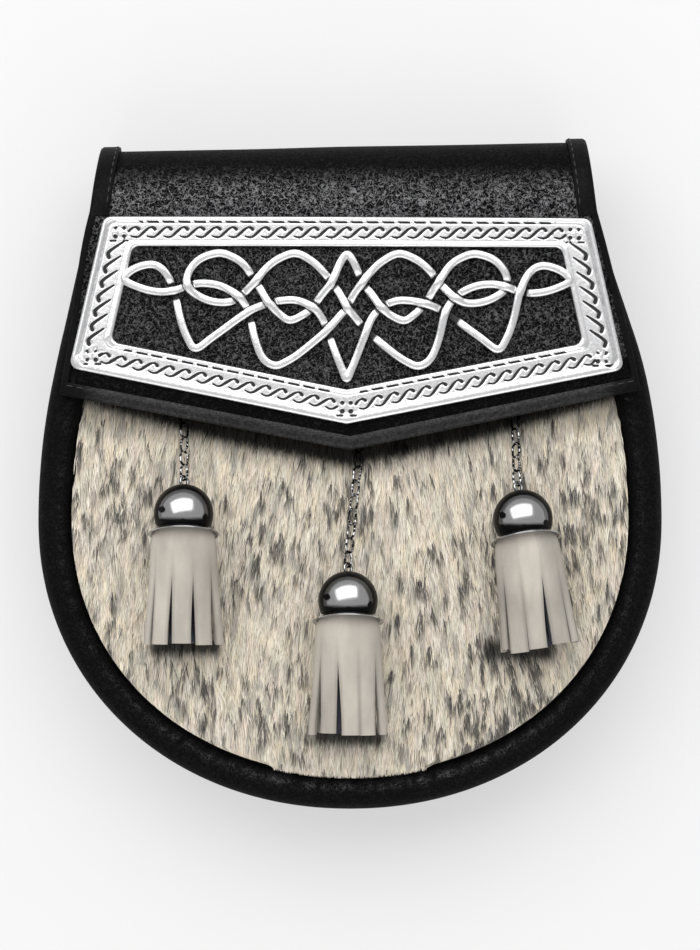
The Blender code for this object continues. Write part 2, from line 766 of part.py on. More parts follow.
def build_tassel(tassel_row, fur, material, collection):
    """A bundle of leather strips: each section is a ring of strips with grooves between."""
    name, _, _, _, length, _, _ = tassel_row
    length *= BODY_HALF_WIDTH
    frame = bell_frame(tassel_row, fur)
    side = frame.col[0].xyz
    down = Vector((side.y, -side.x, 0))
    brim = frame.translation
    sections = []
    for along, width, depth, height in TASSEL_SECTIONS:
        middle = brim + down * (along * length)
        floor = max(
            height_over(fur, middle.x + side.x * step, middle.y, TASSEL_GROOVE)
            for step in (-TASSEL_HALF_WIDTH * 0.6, 0, TASSEL_HALF_WIDTH * 0.6)
        )
        middle.z = mix(brim.z - BELL_BRIM_RADIUS, floor + GAP, max(0.0, along))
        middle.z += height * BELL_BRIM_RADIUS
        ring_points = []
        for strip in range(TASSEL_STRIPS):
            for place, sunk in ((0.06, 0.0), (0.5, -0.3), (0.94, 0.0), (1.0, 1.0)):
                turn = 2 * math.pi * (strip + place) / TASSEL_STRIPS
                reach = 1 - TASSEL_GROOVE * sunk / TASSEL_HALF_WIDTH
                point = middle + side * (math.cos(turn) * width * TASSEL_HALF_WIDTH * reach)
                point.z += math.sin(turn) * depth * TASSEL_HALF_DEPTH * reach
                point.z = max(point.z, floor + GAP)
                ring_points.append(point)
        sections.append(ring_points)
    return add_piece("tassel_" + name, loft(sections), material, collection)


def ring(radius, wire, sides, material, collection):
    """A ring of wire lying in the X-Y plane."""
    bpy.ops.mesh.primitive_torus_add(
        major_segments=sides, minor_segments=5, major_radius=radius, minor_radius=wire / 2,
    )
    piece = bpy.context.object
    piece.data.materials.append(material)
    for holder in list(piece.users_collection):
        holder.objects.unlink(piece)
    collection.objects.link(piece)
    return piece


def chain_route(tassel_row, fur):
    """Middle points of the links, from inside the eye of the bell to the hidden staple."""
    _, _, _, _, _, end_x, links = tassel_row
    end_x *= BODY_HALF_WIDTH
    frame = bell_frame(tassel_row, fur)
    hole = BELL_LENGTH + EYE_RADIUS * 0.75
    tip = hole + EYE_RADIUS - EYE_WIRE / 2 - GAP - LINK_WIRE / 2
    start = frame @ Vector((0, 0, tip))
    pitch = LINK_LENGTH - 2 * LINK_WIRE + LINK_BITE
    lift = (LINK_WIDTH - LINK_WIRE) / 2 * math.sqrt(0.5) + LINK_WIRE / 2
    first = frame @ Vector((0, 0, tip + LINK_LENGTH / 2 - LINK_WIRE / 2))
    route = [first]
    for link in range(1, links):
        y = first.y + link * pitch
        x = mix(first.x, end_x, link / (links - 1))
        low = height_over(fur, x, y, LINK_LENGTH * 0.4) + GAP + lift
        route.append(Vector((x, y, max(low, mix(first.z, low, min(1.0, link / 3))))))
    return start, route


def build_chain(tassel_row, fur, material, collection):
    """Interlocked links from the bell to a staple under the flap, as one body."""
    start, route = chain_route(tassel_row, fur)
    links = []
    before = start
    for i, middle in enumerate(route):
        after = route[i + 1] if i + 1 < len(route) else middle + (middle - before)
        heading = (after - before).normalized() if i else (middle - before).normalized()
        side = heading.cross(Vector((0, 0, 1))).normalized()
        roll = Matrix.Rotation(math.radians(45 if i % 2 else -45), 4, "Y")
        link = ring((LINK_WIDTH - LINK_WIRE) / 2, LINK_WIRE, 10, material, collection)
        for corner in link.data.vertices:
            if abs(corner.co.y) > LINK_WIRE / 10:
                corner.co.y += math.copysign((LINK_LENGTH - LINK_WIDTH) / 2, corner.co.y)
        link.data.transform(axes_at(side, heading, middle) @ roll)
        links.append(link)
        before = middle
    last = route[-1]
    foot_y = last.y + LINK_LENGTH / 2
    foot_z = height_over(fur, last.x, foot_y, STAPLE_RADIUS) + GAP
    height = last.z - foot_z + LINK_WIRE / 2
    shape = bmesh.new()
    bmesh.ops.create_cone(
        shape, cap_ends=True, segments=8, radius1=STAPLE_RADIUS, radius2=STAPLE_RADIUS,
        depth=STAPLE_THICKNESS,
        matrix=Matrix.Translation((last.x, foot_y, foot_z + STAPLE_THICKNESS / 2)),
    )
    base = add_piece("chain_" + tassel_row[0], shape, material, collection)
    post = bmesh.new()
    bmesh.ops.create_cone(
        post, cap_ends=True, segments=6, radius1=LINK_WIRE * 0.8, radius2=LINK_WIRE * 0.8,
        depth=height, matrix=Matrix.Translation((last.x, foot_y, foot_z + height / 2)),
    )
    return fuse(base, [add_piece("post", post, material, collection), *links])


def build_belt_loop(name, x, material, collection):
    """A strap bridge on the back, through which a belt passes sideways."""
    half = LOOP_LENGTH / 2
    low, high = LOOP_FLOOR_GAP, BACK_Z - GAP
    profile = (
        (-half, high), (-half, low), (half, low), (half, high),
        (half - LOOP_FOOT, high), (half - LOOP_FOOT, LOOP_INNER_Z),
        (LOOP_FOOT - half, LOOP_INNER_Z), (LOOP_FOOT - half, high),
    )
    sections = [
        [Vector((x + side * LOOP_WIDTH / 2, LOOP_Y + y, z)) for y, z in profile]
        for side in (-1, 1)
    ]
    return add_piece(name, loft(sections), material, collection)


def build_stud(fur, material, collection):
    """The hidden press stud between the fur and the flap."""
    base = height_over(fur, 0.0, STUD_Y, STUD_RADIUS) + GAP
    top = flap_middle_z(STUD_RADIUS * 2) - LEATHER / 2 - GAP
    shape = bmesh.new()
    bmesh.ops.create_cone(
        shape, cap_ends=True, segments=14, radius1=STUD_RADIUS, radius2=STUD_RADIUS * 0.8,
        depth=top - base, matrix=Matrix.Translation((0, STUD_Y, (base + top) / 2)),
    )
    return add_piece("snap_stud", shape, material, collection)


def main():
    clear_scene()
    pouch = new_collection("sporran_pouch")
    black_leather = finish("black_leather", (0.010, 0.010, 0.011), 0.45)
    rim_leather = finish("rim_leather", (0.007, 0.007, 0.008), 0.40)
    hide = finish("fur", (0.60, 0.56, 0.46), 0.85)
    silver = finish("cast_silver", (0.86, 0.86, 0.86), 0.22, 1.0)
    chrome = finish("polished_metal", (0.75, 0.75, 0.76), 0.08, 1.0)
    strip_leather = finish("cream_leather", (0.66, 0.61, 0.52), 0.60)

    sheet_rows = BACK_ROWS + FOLD_ROWS + FRONT_ROWS
    leather_sheet(
        "back_and_flap", SHEET_COLUMNS, sheet_rows, sheet_place, LEATHER, black_leather, pouch
    )
    leather_sheet(
        "front_panel", PANEL_COLUMNS, PANEL_ROWS, panel_place, PANEL_LEATHER, rim_leather, pouch
    )
    build_binding(rim_leather, pouch)
    fur = build_fur(hide, pouch)
    bpy.context.view_layer.update()
    build_gusset(black_leather, pouch)
    front_rim_height = FRONT_Z + FRONT_RIM_HEIGHT - PANEL_Z
    rim("front_rim", FRONT_RIM_SECTION, FRONT_RIM_WIDTH, front_rim_height, 0.0, PANEL_Z,
        RIM_STATIONS, RIM_PUCKER, rim_leather, pouch)
    rim("back_rim", BACK_RIM_SECTION, BACK_RIM_WIDTH, BACK_INNER_Z + GAP, BACK_RIM_INSET, 0.0,
        BACK_RIM_STATIONS, 0.0, rim_leather, pouch)
    build_cantle(silver, pouch)
    for tassel_row in TASSELS:
        build_bell(tassel_row, fur, chrome, pouch)
        build_tassel(tassel_row, fur, strip_leather, pouch)
        build_chain(tassel_row, fur, chrome, pouch)
    for name, side in (("belt_loop_left", -1), ("belt_loop_right", 1)):
        build_belt_loop(name, side * LOOP_X, black_leather, pouch)
    build_stud(fur, chrome, pouch)


main()
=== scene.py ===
"""Dresses the solids of a sporran pouch with their visible forms, hair, stitching and finishes."""

import math

import bmesh
import bpy
import numpy as np
from bpy.props import FloatProperty, FloatVectorProperty, IntProperty, PointerProperty
from bpy.types import Operator, Panel, PropertyGroup
from mathutils import Matrix, Vector, noise
from mathutils.bvhtree import BVHTree
from mathutils.kdtree import KDTree


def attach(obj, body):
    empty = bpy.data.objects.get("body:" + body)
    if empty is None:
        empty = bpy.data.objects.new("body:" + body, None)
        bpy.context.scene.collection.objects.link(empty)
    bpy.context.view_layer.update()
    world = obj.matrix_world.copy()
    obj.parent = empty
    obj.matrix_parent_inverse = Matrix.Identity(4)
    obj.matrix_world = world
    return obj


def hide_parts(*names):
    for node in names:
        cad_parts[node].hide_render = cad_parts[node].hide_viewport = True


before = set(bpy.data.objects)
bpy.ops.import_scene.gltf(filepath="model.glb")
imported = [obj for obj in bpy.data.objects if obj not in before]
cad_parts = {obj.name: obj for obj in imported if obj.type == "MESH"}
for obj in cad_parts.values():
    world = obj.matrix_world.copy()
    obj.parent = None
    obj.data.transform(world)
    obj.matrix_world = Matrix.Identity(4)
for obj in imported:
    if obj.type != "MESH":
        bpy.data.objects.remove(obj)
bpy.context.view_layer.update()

bl_info = {
    "name": "Sporran Pouch",
    "version": (1, 0, 0),
    "blender": (4, 5, 0),
    "location": "View3D > Sidebar > Sporran",
    "description": "Makes a fur-fronted leather pouch with a pierced cantle and three tassels",
    "category": "Add Mesh",
}

# Outline of the body, as in the solids
BODY_HALF_WIDTH = 0.09515
LOWER_HEIGHT = 0.0881
LOWER_ROUNDNESS = 2.08
WIDEST_Y = -0.0144
SIDE_RADIUS = 0.207
SIDE_TOP_Y = 0.0440
SIDE_TAPER = 0.281
SHOULDER_Y = 0.0791
TOP_TAPER = 0.136
FOLD_TOP_Y = 0.0989
RIM_TOP_Y = 0.0700
LOWER_SHARE = 0.62
TOP_LEAN = -0.0020
TOP_RISE = 0.0017
LEAN_FROM_Y = 0.0270

# Leathers and depths
GAP = 0.0003
SEAM = 0.0006
LEATHER = 0.0024
PANEL_LEATHER = 0.0020
BINDING_LEATHER = 0.0010
BINDING_LIP = 0.0028
SHOULDER_LIP = 0.0046
SIDE_LIP = 0.0007
GUSSET_DEPTH = 0.0178
GUSSET_PLEAT = 0.0025
GUSSET_INSET = 0.0040
CROWN = 0.0040
FRONT_RIM_WIDTH = 0.0105
FRONT_RIM_HEIGHT = 0.0074
BACK_RIM_WIDTH = 0.0070
BACK_RIM_INSET = 0.0010
BACK_INNER_Z = 0.0089
BACK_Z = BACK_INNER_Z - LEATHER
GUSSET_Z = BACK_INNER_Z + 3 * GAP
PANEL_Z = GUSSET_Z + GUSSET_DEPTH + 2 * GAP
FRONT_Z = PANEL_Z + PANEL_LEATHER + GAP
FLAP_Z = FRONT_Z + FRONT_RIM_HEIGHT + GAP + BINDING_LEATHER + GAP + LEATHER / 2
BINDING_REACH = GAP + BINDING_LEATHER

# Flap, fur and cantle
FLAP_CORNER_Y = 0.0242
FLAP_POINT_Y = 0.0070
FLAP_SLOPE = 0.0077
FLAP_TUCK = 0.0036
FUR_FULL = 0.0062
FUR_PRESSED = 0.0021
FUR_RISE = 0.0140
PLATE_X = -0.0011
PLATE_TURN = math.radians(-0.2)
PLATE_TOP_MARGIN = 0.00209
PLATE_WIDE_MARGIN = 0.00090
PLATE_TOP_Y = 0.0776
PLATE_CORNER_Y = 0.0315
PLATE_POINT_Y = 0.0147
PLATE_CORNER_RADIUS = 0.0028
OPENING_RADIUS = 0.0024
BORDER_TOP = 0.0092
BORDER_SIDE = 0.0109
BORDER_LOW = 0.0105
STRAND_WIDTH = 0.0025
STRAND_HEIGHT = 0.0013
STRAND_STEP = 0.0013

# Tassels, bells and chains
BELL_RADIUS = 0.0090
BELL_BRIM_RADIUS = 0.0112
BELL_LENGTH = 0.0152
BELL_TIP = math.radians(14)
BELL_SEGMENTS = 96
BELL_GROOVE_HEIGHT = 0.0016
EYE_RADIUS = 0.0015
EYE_WIRE = 0.0009
TASSEL_HALF_WIDTH = 0.0123
TASSEL_HALF_DEPTH = 0.0066
LINK_LENGTH = 0.0055
LINK_WIDTH = 0.0036
LINK_WIRE = 0.00075
LINK_BITE = 0.00030
STAPLE_RADIUS = 0.0028
STAPLE_THICKNESS = 0.0008
# Name, top of the bell x and y, turn to the right in degrees, length of the strips, x of the
# chain's hidden end, all as shares of the body's half width, and the chain's links
TASSELS = (
    ("left", -0.5276, -0.0378, 0.0, 0.3489, -0.5307, 5),
    ("centre", -0.0063, -0.3142, 0.0, 0.3594, 0.0315, 9),
    ("right", 0.5360, -0.0568, 8.0, 0.3468, 0.5286, 5),
)
# Share of the length, of the half width, of the half depth, and height of the middle over the
# fur as a share of the brim's radius
TASSEL_SECTIONS = (
    (-0.12, 0.52, 0.98, 0.90),
    (0.00, 0.78, 1.12, 0.98),
    (0.10, 0.83, 1.28, 0.95),
    (0.55, 0.91, 1.14, 0.74),
    (1.00, 1.01, 1.00, 0.64),
)

# Belt loops
LOOP_X = 0.0420
LOOP_Y = 0.0420
LOOP_LENGTH = 0.0420
LOOP_WIDTH = 0.0160
LOOP_LEATHER = 0.0018
LOOP_FLOOR_GAP = 0.0002

# Sections of the rims: share across from the outer edge, share of the height
FRONT_RIM_SECTION = (
    (0.00, 0.44), (0.05, 0.70), (0.24, 0.94), (0.50, 1.00), (0.78, 0.90),
    (1.00, 0.50), (1.00, 0.04), (0.92, 0.00), (0.10, 0.00),
)
BACK_RIM_SECTION = (
    (0.00, 0.36), (0.09, 0.10), (0.30, 0.00), (0.70, 0.00), (0.92, 0.10),
    (1.00, 0.36), (1.00, 0.96), (0.90, 1.00), (0.22, 1.00), (0.04, 0.76),
)

# The endless strand of the knot, left of the middle line: across, down, and 1 over or -1 under
KNOT_ACROSS = 233
KNOT_DOWN = 142
KNOT_GAP = 0.0012
KNOT_DROP = 0.966
KNOT_LOOPS = (
    (0, 4, 0), (7, 13, 0), (15, 33, 1), (25, 47, 0), (34, 60, -1), (43, 68, 0), (56, 74, 0),
    (66, 68, 0), (77, 56, 1), (85, 42, 0), (91, 32, -1), (102, 15, 0), (115, 6, 0), (128, 3, 0),
    (145, 9, 0), (156, 22, 0), (158, 37, 1), (149, 47, 0), (134, 54, 0), (118, 55, 0),
    (106, 49, -1), (90, 32, 1), (81, 20, 0), (68, 9, 0), (51, 3, 0), (35, 11, 0), (23, 23, 0),
    (15, 34, -1), (7, 46, 0),
)
KNOT_CENTRE = (0, 60)
KNOT_LEGS = (
    (6, 68, 0), (20, 85, 1), (43, 106, 0), (58, 117, 0), (71, 122, 0), (83, 114, 0), (91, 93, 0),
    (97, 66, -1), (106, 50, 1), (118, 41, 0), (131, 36, 0), (146, 35, 0), (158, 38, -1),
    (172, 43, 1), (187, 44, 0), (204, 40, 0), (220, 31, 0), (211, 20, 0), (193, 15, 0),
    (180, 23, 0), (171, 43, -1), (165, 71, 0), (158, 92, 0), (149, 104, 0), (131, 91, 0),
    (97, 65, 1), (77, 56, -1), (64, 53, 0), (49, 53, 0), (34, 60, 1), (25, 71, 0), (19, 86, -1),
    (11, 109, 0), (5, 125, 0),
)
KNOT_FOOT = (0, 136)

# The photograph's frame, in the plane of the widest line of the body
CAMERA_HEIGHT = 1.5
FRAME_HEIGHT = 0.2902
FRAME_PLANE_Z = 0.0325
CAMERA_Y = -0.00061

# Lights: name, place, width and height, power in watts
LIGHTS = (
    ("softbox", (-0.20, 1.18, 1.62), (3.3, 1.9), 37.0),
    ("fill", (0.2, -1.75, 1.7), (2.6, 2.0), 14.0),
)
LIT_PLACE = (0, 0, 0.03)
WORLD_STRENGTH = 0.46


def colour_setting(name, description, default):
    return FloatVectorProperty(
        name=name, description=description, subtype="COLOR", size=3, min=0, max=1,
        default=default)


def length_setting(name, description, least, most, default):
    return FloatProperty(
        name=name, description=description, unit="LENGTH", min=least, max=most,
        default=default)


class SporranLeather(PropertyGroup):
    """Settings of the black leather."""

    colour: colour_setting("Leather colour", "Colour of the dyed leather", (0.0035, 0.0035, 0.0040))
    grain: length_setting(
        "Grain", "Distance from one pebble of the grain to the next", 0.0003, 0.01, 0.0015)
    grain_depth: length_setting(
        "Grain depth", "Depth of the creases of the grain", 0, 0.002, 0.00035)


class SporranFur(PropertyGroup):
    """Settings of the fur front."""

    strands: IntProperty(
        name="Hairs", description="Number of hairs in each of the fur's pieces",
        min=100, max=40000, default=34000,
    )
    length: length_setting("Hair length", "Length of a hair", 0.001, 0.05, 0.0085)
    width: length_setting("Hair width", "Width of a hair at its root", 0.00005, 0.001, 0.00034)
    light: colour_setting("Light hair", "Colour of most of the hair", (0.93, 0.865, 0.75))
    dark: colour_setting("Dark hair", "Colour of the dark locks", (0.040, 0.037, 0.037))


class SporranMetal(PropertyGroup):
    """Settings of the metal fittings."""

    silver: colour_setting(
        "Silver", "Colour of the polished relief of the cantle", (0.93, 0.93, 0.94))
    oxide: colour_setting("Oxide", "Colour of the blackened recesses", (0.012, 0.012, 0.013))
    rope_pitch: length_setting(
        "Rope pitch", "Length of one turn of the rope border", 0.002, 0.02, 0.0049)


class SporranTassel(PropertyGroup):
    """Settings of the tassels."""

    colour: colour_setting("Strip colour", "Colour of the leather strips", (0.60, 0.55, 0.48))
    strips: IntProperty(
        name="Strips", description="Number of outer strips of each tassel",
        min=4, max=20, default=10,
    )
    thickness: length_setting(
        "Strip thickness", "Thickness of a leather strip", 0.0003, 0.003, 0.0009)


class SporranSettings(PropertyGroup):
    """All the settings of the pouch."""

    leather: PointerProperty(type=SporranLeather, name="Leather", description="Black leather")
    fur: PointerProperty(type=SporranFur, name="Fur", description="Fur front")
    metal: PointerProperty(type=SporranMetal, name="Metal", description="Metal fittings")
    tassel: PointerProperty(type=SporranTassel, name="Tassels", description="Tassels")


def settings():
    return bpy.context.scene.sporran


# Measures of the body


def mix(first, second, share):
    return first + (second - first) * share


def eased(share):
    """A rise from 0 to 1 that begins and ends level."""
    return share * share * (3 - 2 * share)


def ramp(value, low, high):
    """0 below low, 1 above high and a smooth rise between them."""
    return eased(min(1.0, max(0.0, (value - low) / (high - low))))


def leaned(point):
    """Moves a point of the body with the lean of its top."""
    side = TOP_LEAN * ramp(point.y, LEAN_FROM_Y, SHOULDER_Y)
    rise = TOP_RISE * ramp(point.y, SHOULDER_Y, FOLD_TOP_Y) * point.x / BODY_HALF_WIDTH
    return Vector((point.x + side, point.y + rise, point.z))


def half_width(y):
    if y < WIDEST_Y:
        fall = min(1.0, (WIDEST_Y - y) / LOWER_HEIGHT)
        return BODY_HALF_WIDTH * (1 - fall**LOWER_ROUNDNESS) ** (1 / LOWER_ROUNDNESS)
    reach = min(y, SIDE_TOP_Y) - WIDEST_Y
    side = BODY_HALF_WIDTH - SIDE_RADIUS + math.sqrt(SIDE_RADIUS**2 - reach**2)
    taper = SIDE_TAPER * max(0.0, min(y, SHOULDER_Y) - SIDE_TOP_Y)
    return side - taper - TOP_TAPER * max(0.0, y - SHOULDER_Y)


def outline_point(share, top_y):
    """Point of the right half of the outline: 0 is the lowest point and 1 is at top_y."""
    if share < LOWER_SHARE:
        turn = math.pi / 2 * (1 - share / LOWER_SHARE)
        power = 2 / LOWER_ROUNDNESS
        across = math.copysign(abs(math.cos(turn)) ** power, math.cos(turn))
        drop = LOWER_HEIGHT * math.sin(turn) ** power
        return Vector((BODY_HALF_WIDTH * across, WIDEST_Y - drop))
    y = mix(WIDEST_Y, top_y, (share - LOWER_SHARE) / (1 - LOWER_SHARE))
    return Vector((half_width(y), y))


def inset_point(share, top_y, inset):
    """The same point moved in from the outline. Shares below 0 give the left half."""
    side = -1 if share < 0 else 1
    share = abs(share)
    step = 1e-4
    along = outline_point(share + step, top_y) - outline_point(share - step, top_y)
    inward = Vector((-along.y, along.x)).normalized()
    point = outline_point(share, top_y) + inward * inset
    return Vector((side * point.x, point.y))


def crown(x, y):
    """How far the front stands out."""
    across = 1 - min(1.0, abs(x) / max(half_width(y), 1e-6)) ** 2
    fall = max(0.0, (WIDEST_Y - y) / LOWER_HEIGHT)
    return CROWN * across * (1 - fall * fall)


def flap_half(y):
    tuck = FLAP_TUCK * (1 - ramp(y, FLAP_CORNER_Y, SHOULDER_Y))
    return half_width(y) - BINDING_REACH - tuck


def flap_middle_z(x):
    return FLAP_Z + crown(x, WIDEST_Y) - crown(flap_half(FLAP_CORNER_Y), WIDEST_Y)


def flap_edge_y(x):
    share = min(1.0, abs(x) / flap_half(FLAP_CORNER_Y))
    return mix(FLAP_POINT_Y, FLAP_CORNER_Y, share) + FLAP_SLOPE * x + BINDING_REACH


def fur_thickness(x, y):
    below = flap_edge_y(x) - BINDING_REACH - y
    return mix(FUR_PRESSED, FUR_FULL, ramp(below, FUR_RISE * 0.15, FUR_RISE))


# Where the sheet's back, its fold and its flap begin and end, as shares of its length
BACK_SHARE = 0.50
FOLD_SHARE = 0.72


def sheet_place(u, v):
    """The back panel, its fold over the top and the flap, as one skin."""
    side = 2 * u - 1
    back_middle = (BACK_Z + BACK_INNER_Z) / 2
    radius = (flap_middle_z(side * flap_half(SHOULDER_Y)) - back_middle) / 2
    fold_y = FOLD_TOP_Y - radius
    if v < BACK_SHARE:
        inset = BACK_RIM_INSET + BACK_RIM_WIDTH + SEAM
        share = max(0.02, v / BACK_SHARE * 1.14)
        point = inset_point(min(share, 1.0), RIM_TOP_Y + GAP, inset)
        outer = Vector((flap_half(fold_y), fold_y))
        point = point.lerp(outer, max(0.0, (share - 1.0) / 0.14))
        return leaned(Vector((side * point.x, point.y, back_middle)))
    if v <= FOLD_SHARE:
        turn = math.pi * (v - BACK_SHARE) / (FOLD_SHARE - BACK_SHARE)
        y = fold_y + radius * math.sin(turn)
        z = back_middle + radius * (1 - math.cos(turn))
        return leaned(Vector((side * flap_half(y), y, z)))
    share = (v - FOLD_SHARE) / (1 - FOLD_SHARE)
    edge = flap_edge_y(side * flap_half(FLAP_CORNER_Y))
    y = mix(fold_y, edge, share)
    x = side * flap_half(mix(fold_y, FLAP_CORNER_Y, share))
    return leaned(Vector((x, y, flap_middle_z(x))))


def sheet_normal(u, v):
    """Direction out of the sheet's finished side."""
    step = 2e-3
    low_u, high_u = max(0.0, u - step), min(1.0, u + step)
    low_v, high_v = max(0.0, v - step), min(1.0, v + step)
    across = sheet_place(high_u, v) - sheet_place(low_u, v)
    along = sheet_place(u, high_v) - sheet_place(u, low_v)
    return along.cross(across).normalized()


# Modelling


def deselect():
    active = bpy.context.object
    if active and active.mode != "OBJECT":
        bpy.ops.object.mode_set(mode="OBJECT")
    bpy.ops.object.select_all(action="DESELECT")


def take(piece):
    """Makes a piece the only selected one."""
    deselect()
    piece.select_set(True)
    bpy.context.view_layer.objects.active = piece


def edit(piece):
    """Goes into edit mode with everything on the piece selected."""
    take(piece)
    bpy.ops.object.mode_set(mode="EDIT")
    bpy.ops.mesh.select_all(action="SELECT")


def skin(name, columns, rows, place):
    """A grid whose corners go where place(u, v) says, with (u, v) as its UV map."""
    deselect()
    bpy.ops.mesh.primitive_grid_add(
        x_subdivisions=columns, y_subdivisions=rows, size=1, calc_uvs=True
    )
    piece = bpy.context.object
    piece.name = piece.data.name = name
    for corner in piece.data.vertices:
        corner.co = place(corner.co.x + 0.5, corner.co.y + 0.5)
    return piece


def close(piece):
    """Merges the seam of a skin, fills its open ends and turns its faces outwards."""
    edit(piece)
    bpy.ops.mesh.remove_doubles(threshold=1e-6)
    bpy.ops.mesh.select_all(action="DESELECT")
    bpy.ops.mesh.select_mode(type="EDGE")
    bpy.ops.mesh.select_non_manifold(
        extend=False, use_wire=False, use_multi_face=False, use_non_contiguous=False,
        use_verts=False,
    )
    bpy.ops.mesh.fill_holes(sides=0)
    bpy.ops.mesh.select_mode(type="VERT")
    bpy.ops.mesh.select_all(action="SELECT")
    bpy.ops.mesh.normals_make_consistent(inside=False)
    bpy.ops.object.mode_set(mode="OBJECT")
    return piece


def marked(piece, name, values):
    """Stores one number at each corner of a piece."""
    marks = piece.data.attributes.new(name, "FLOAT", "POINT")
    marks.data.foreach_set("value", values)


def modify(piece, kind, **values):
    """Adds a modifier and applies it."""
    take(piece)
    change = piece.modifiers.new(kind.lower(), kind)
    for name, value in values.items():
        setattr(change, name, value)
    bpy.ops.object.modifier_apply(modifier=change.name)
    return piece


def smooth(piece, angle=40):
    take(piece)
    bpy.ops.object.shade_smooth_by_angle(angle=math.radians(angle))
    return piece


def joined(name, pieces):
    deselect()
    for piece in pieces:
        piece.select_set(True)
    bpy.context.view_layer.objects.active = pieces[0]
    if len(pieces) > 1:
        bpy.ops.object.join()
    piece = bpy.context.object
    piece.name = piece.data.name = name
    return piece


def repeated(name, model, places):
    """Copies of one modelled piece at each place, in one mesh."""
    shape = bmesh.new()
    for place in places:
        shape.from_mesh(model.data)
        fresh = shape.verts[-len(model.data.vertices):]
        bmesh.ops.transform(shape, matrix=place, verts=fresh)
    mesh = bpy.data.meshes.new(name)
    shape.to_mesh(mesh)
    shape.free()
    bpy.data.objects.remove(model, do_unlink=True)
    piece = bpy.data.objects.new(name, mesh)
    bpy.context.scene.collection.objects.link(piece)
    return piece


def coat(piece, material):
    piece.data.materials.clear()
    piece.data.materials.append(material)


def wire_ring(segments, radius, wire):
    deselect()
    bpy.ops.mesh.primitive_torus_add(
        major_segments=segments, minor_segments=10, major_radius=radius, minor_radius=wire / 2)
    return bpy.context.object


def pin(vertices, radius, depth, x, y, low):
    """An upright cylinder that stands on a height."""
    deselect()
    bpy.ops.mesh.primitive_cylinder_add(
        vertices=vertices, radius=radius, depth=depth, location=(x, y, low + depth / 2))
    bpy.ops.object.transform_apply(location=True, rotation=False, scale=False)
    return bpy.context.object


def dress(piece, material, slot, *nodes):
    """Gives a finished piece its material and its place on the model; its slot is not used."""
    coat(piece, material)
    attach(piece, "root")
    if nodes:
        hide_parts(*nodes)
    return piece


def axes_at(side, forward, middle):
    """Matrix of a place with its X and Y axes."""
    matrix = Matrix.Identity(4)
    for column, vector in enumerate((side, forward, side.cross(forward), middle)):
        for row in range(3):
            matrix[row][column] = vector[row]
    return matrix


def curve_through(points, steps, closed=True):
    """Smooth points through the given ones."""
    count = len(points)
    made = []
    for i in range(count if closed else count - 1):
        if closed:
            a, b, c, d = (points[(i + k) % count] for k in (-1, 0, 1, 2))
        else:
            a, b = points[max(0, i - 1)], points[i]
            c, d = points[i + 1], points[min(count - 1, i + 2)]
        for step in range(steps):
            t = step / steps
            made.append(
                b + (c - a) * (t / 2) + (a * 2 - b * 5 + c * 4 - d) * (t * t / 2)
                + (b * 3 - a - c * 3 + d) * (t**3 / 2)
            )
    if not closed:
        made.append(points[-1])
    return made


# Materials


class Value:
    """An output of a material's node, on which Python's operators add Math nodes."""

    def __init__(self, paint, socket):
        self.paint, self.socket = paint, socket

    def maths(self, operation, first, second=0.0, clamp=False):
        node = self.paint.add("Math", {"operation": operation, "use_clamp": clamp},
                              {0: first, 1: second})
        return Value(self.paint, node.outputs[0])

    def __add__(self, other):
        return self.maths("ADD", self, other)

    def __sub__(self, other):
        return self.maths("SUBTRACT", self, other)

    def __rsub__(self, other):
        return self.maths("SUBTRACT", other, self)

    def __mul__(self, other):
        return self.maths("MULTIPLY", self, other)

    def __truediv__(self, other):
        return self.maths("DIVIDE", self, other)

    def __pow__(self, other):
        return self.maths("POWER", self, other)

    def __abs__(self):
        return self.maths("ABSOLUTE", self)

    __radd__ = __add__
    __rmul__ = __mul__

    def clamped(self):
        return self.maths("ADD", self, 0.0, clamp=True)

    def rise(self, low, high):
        """0 below low and 1 above high."""
        return ((self - low) * (1 / (high - low))).clamped()


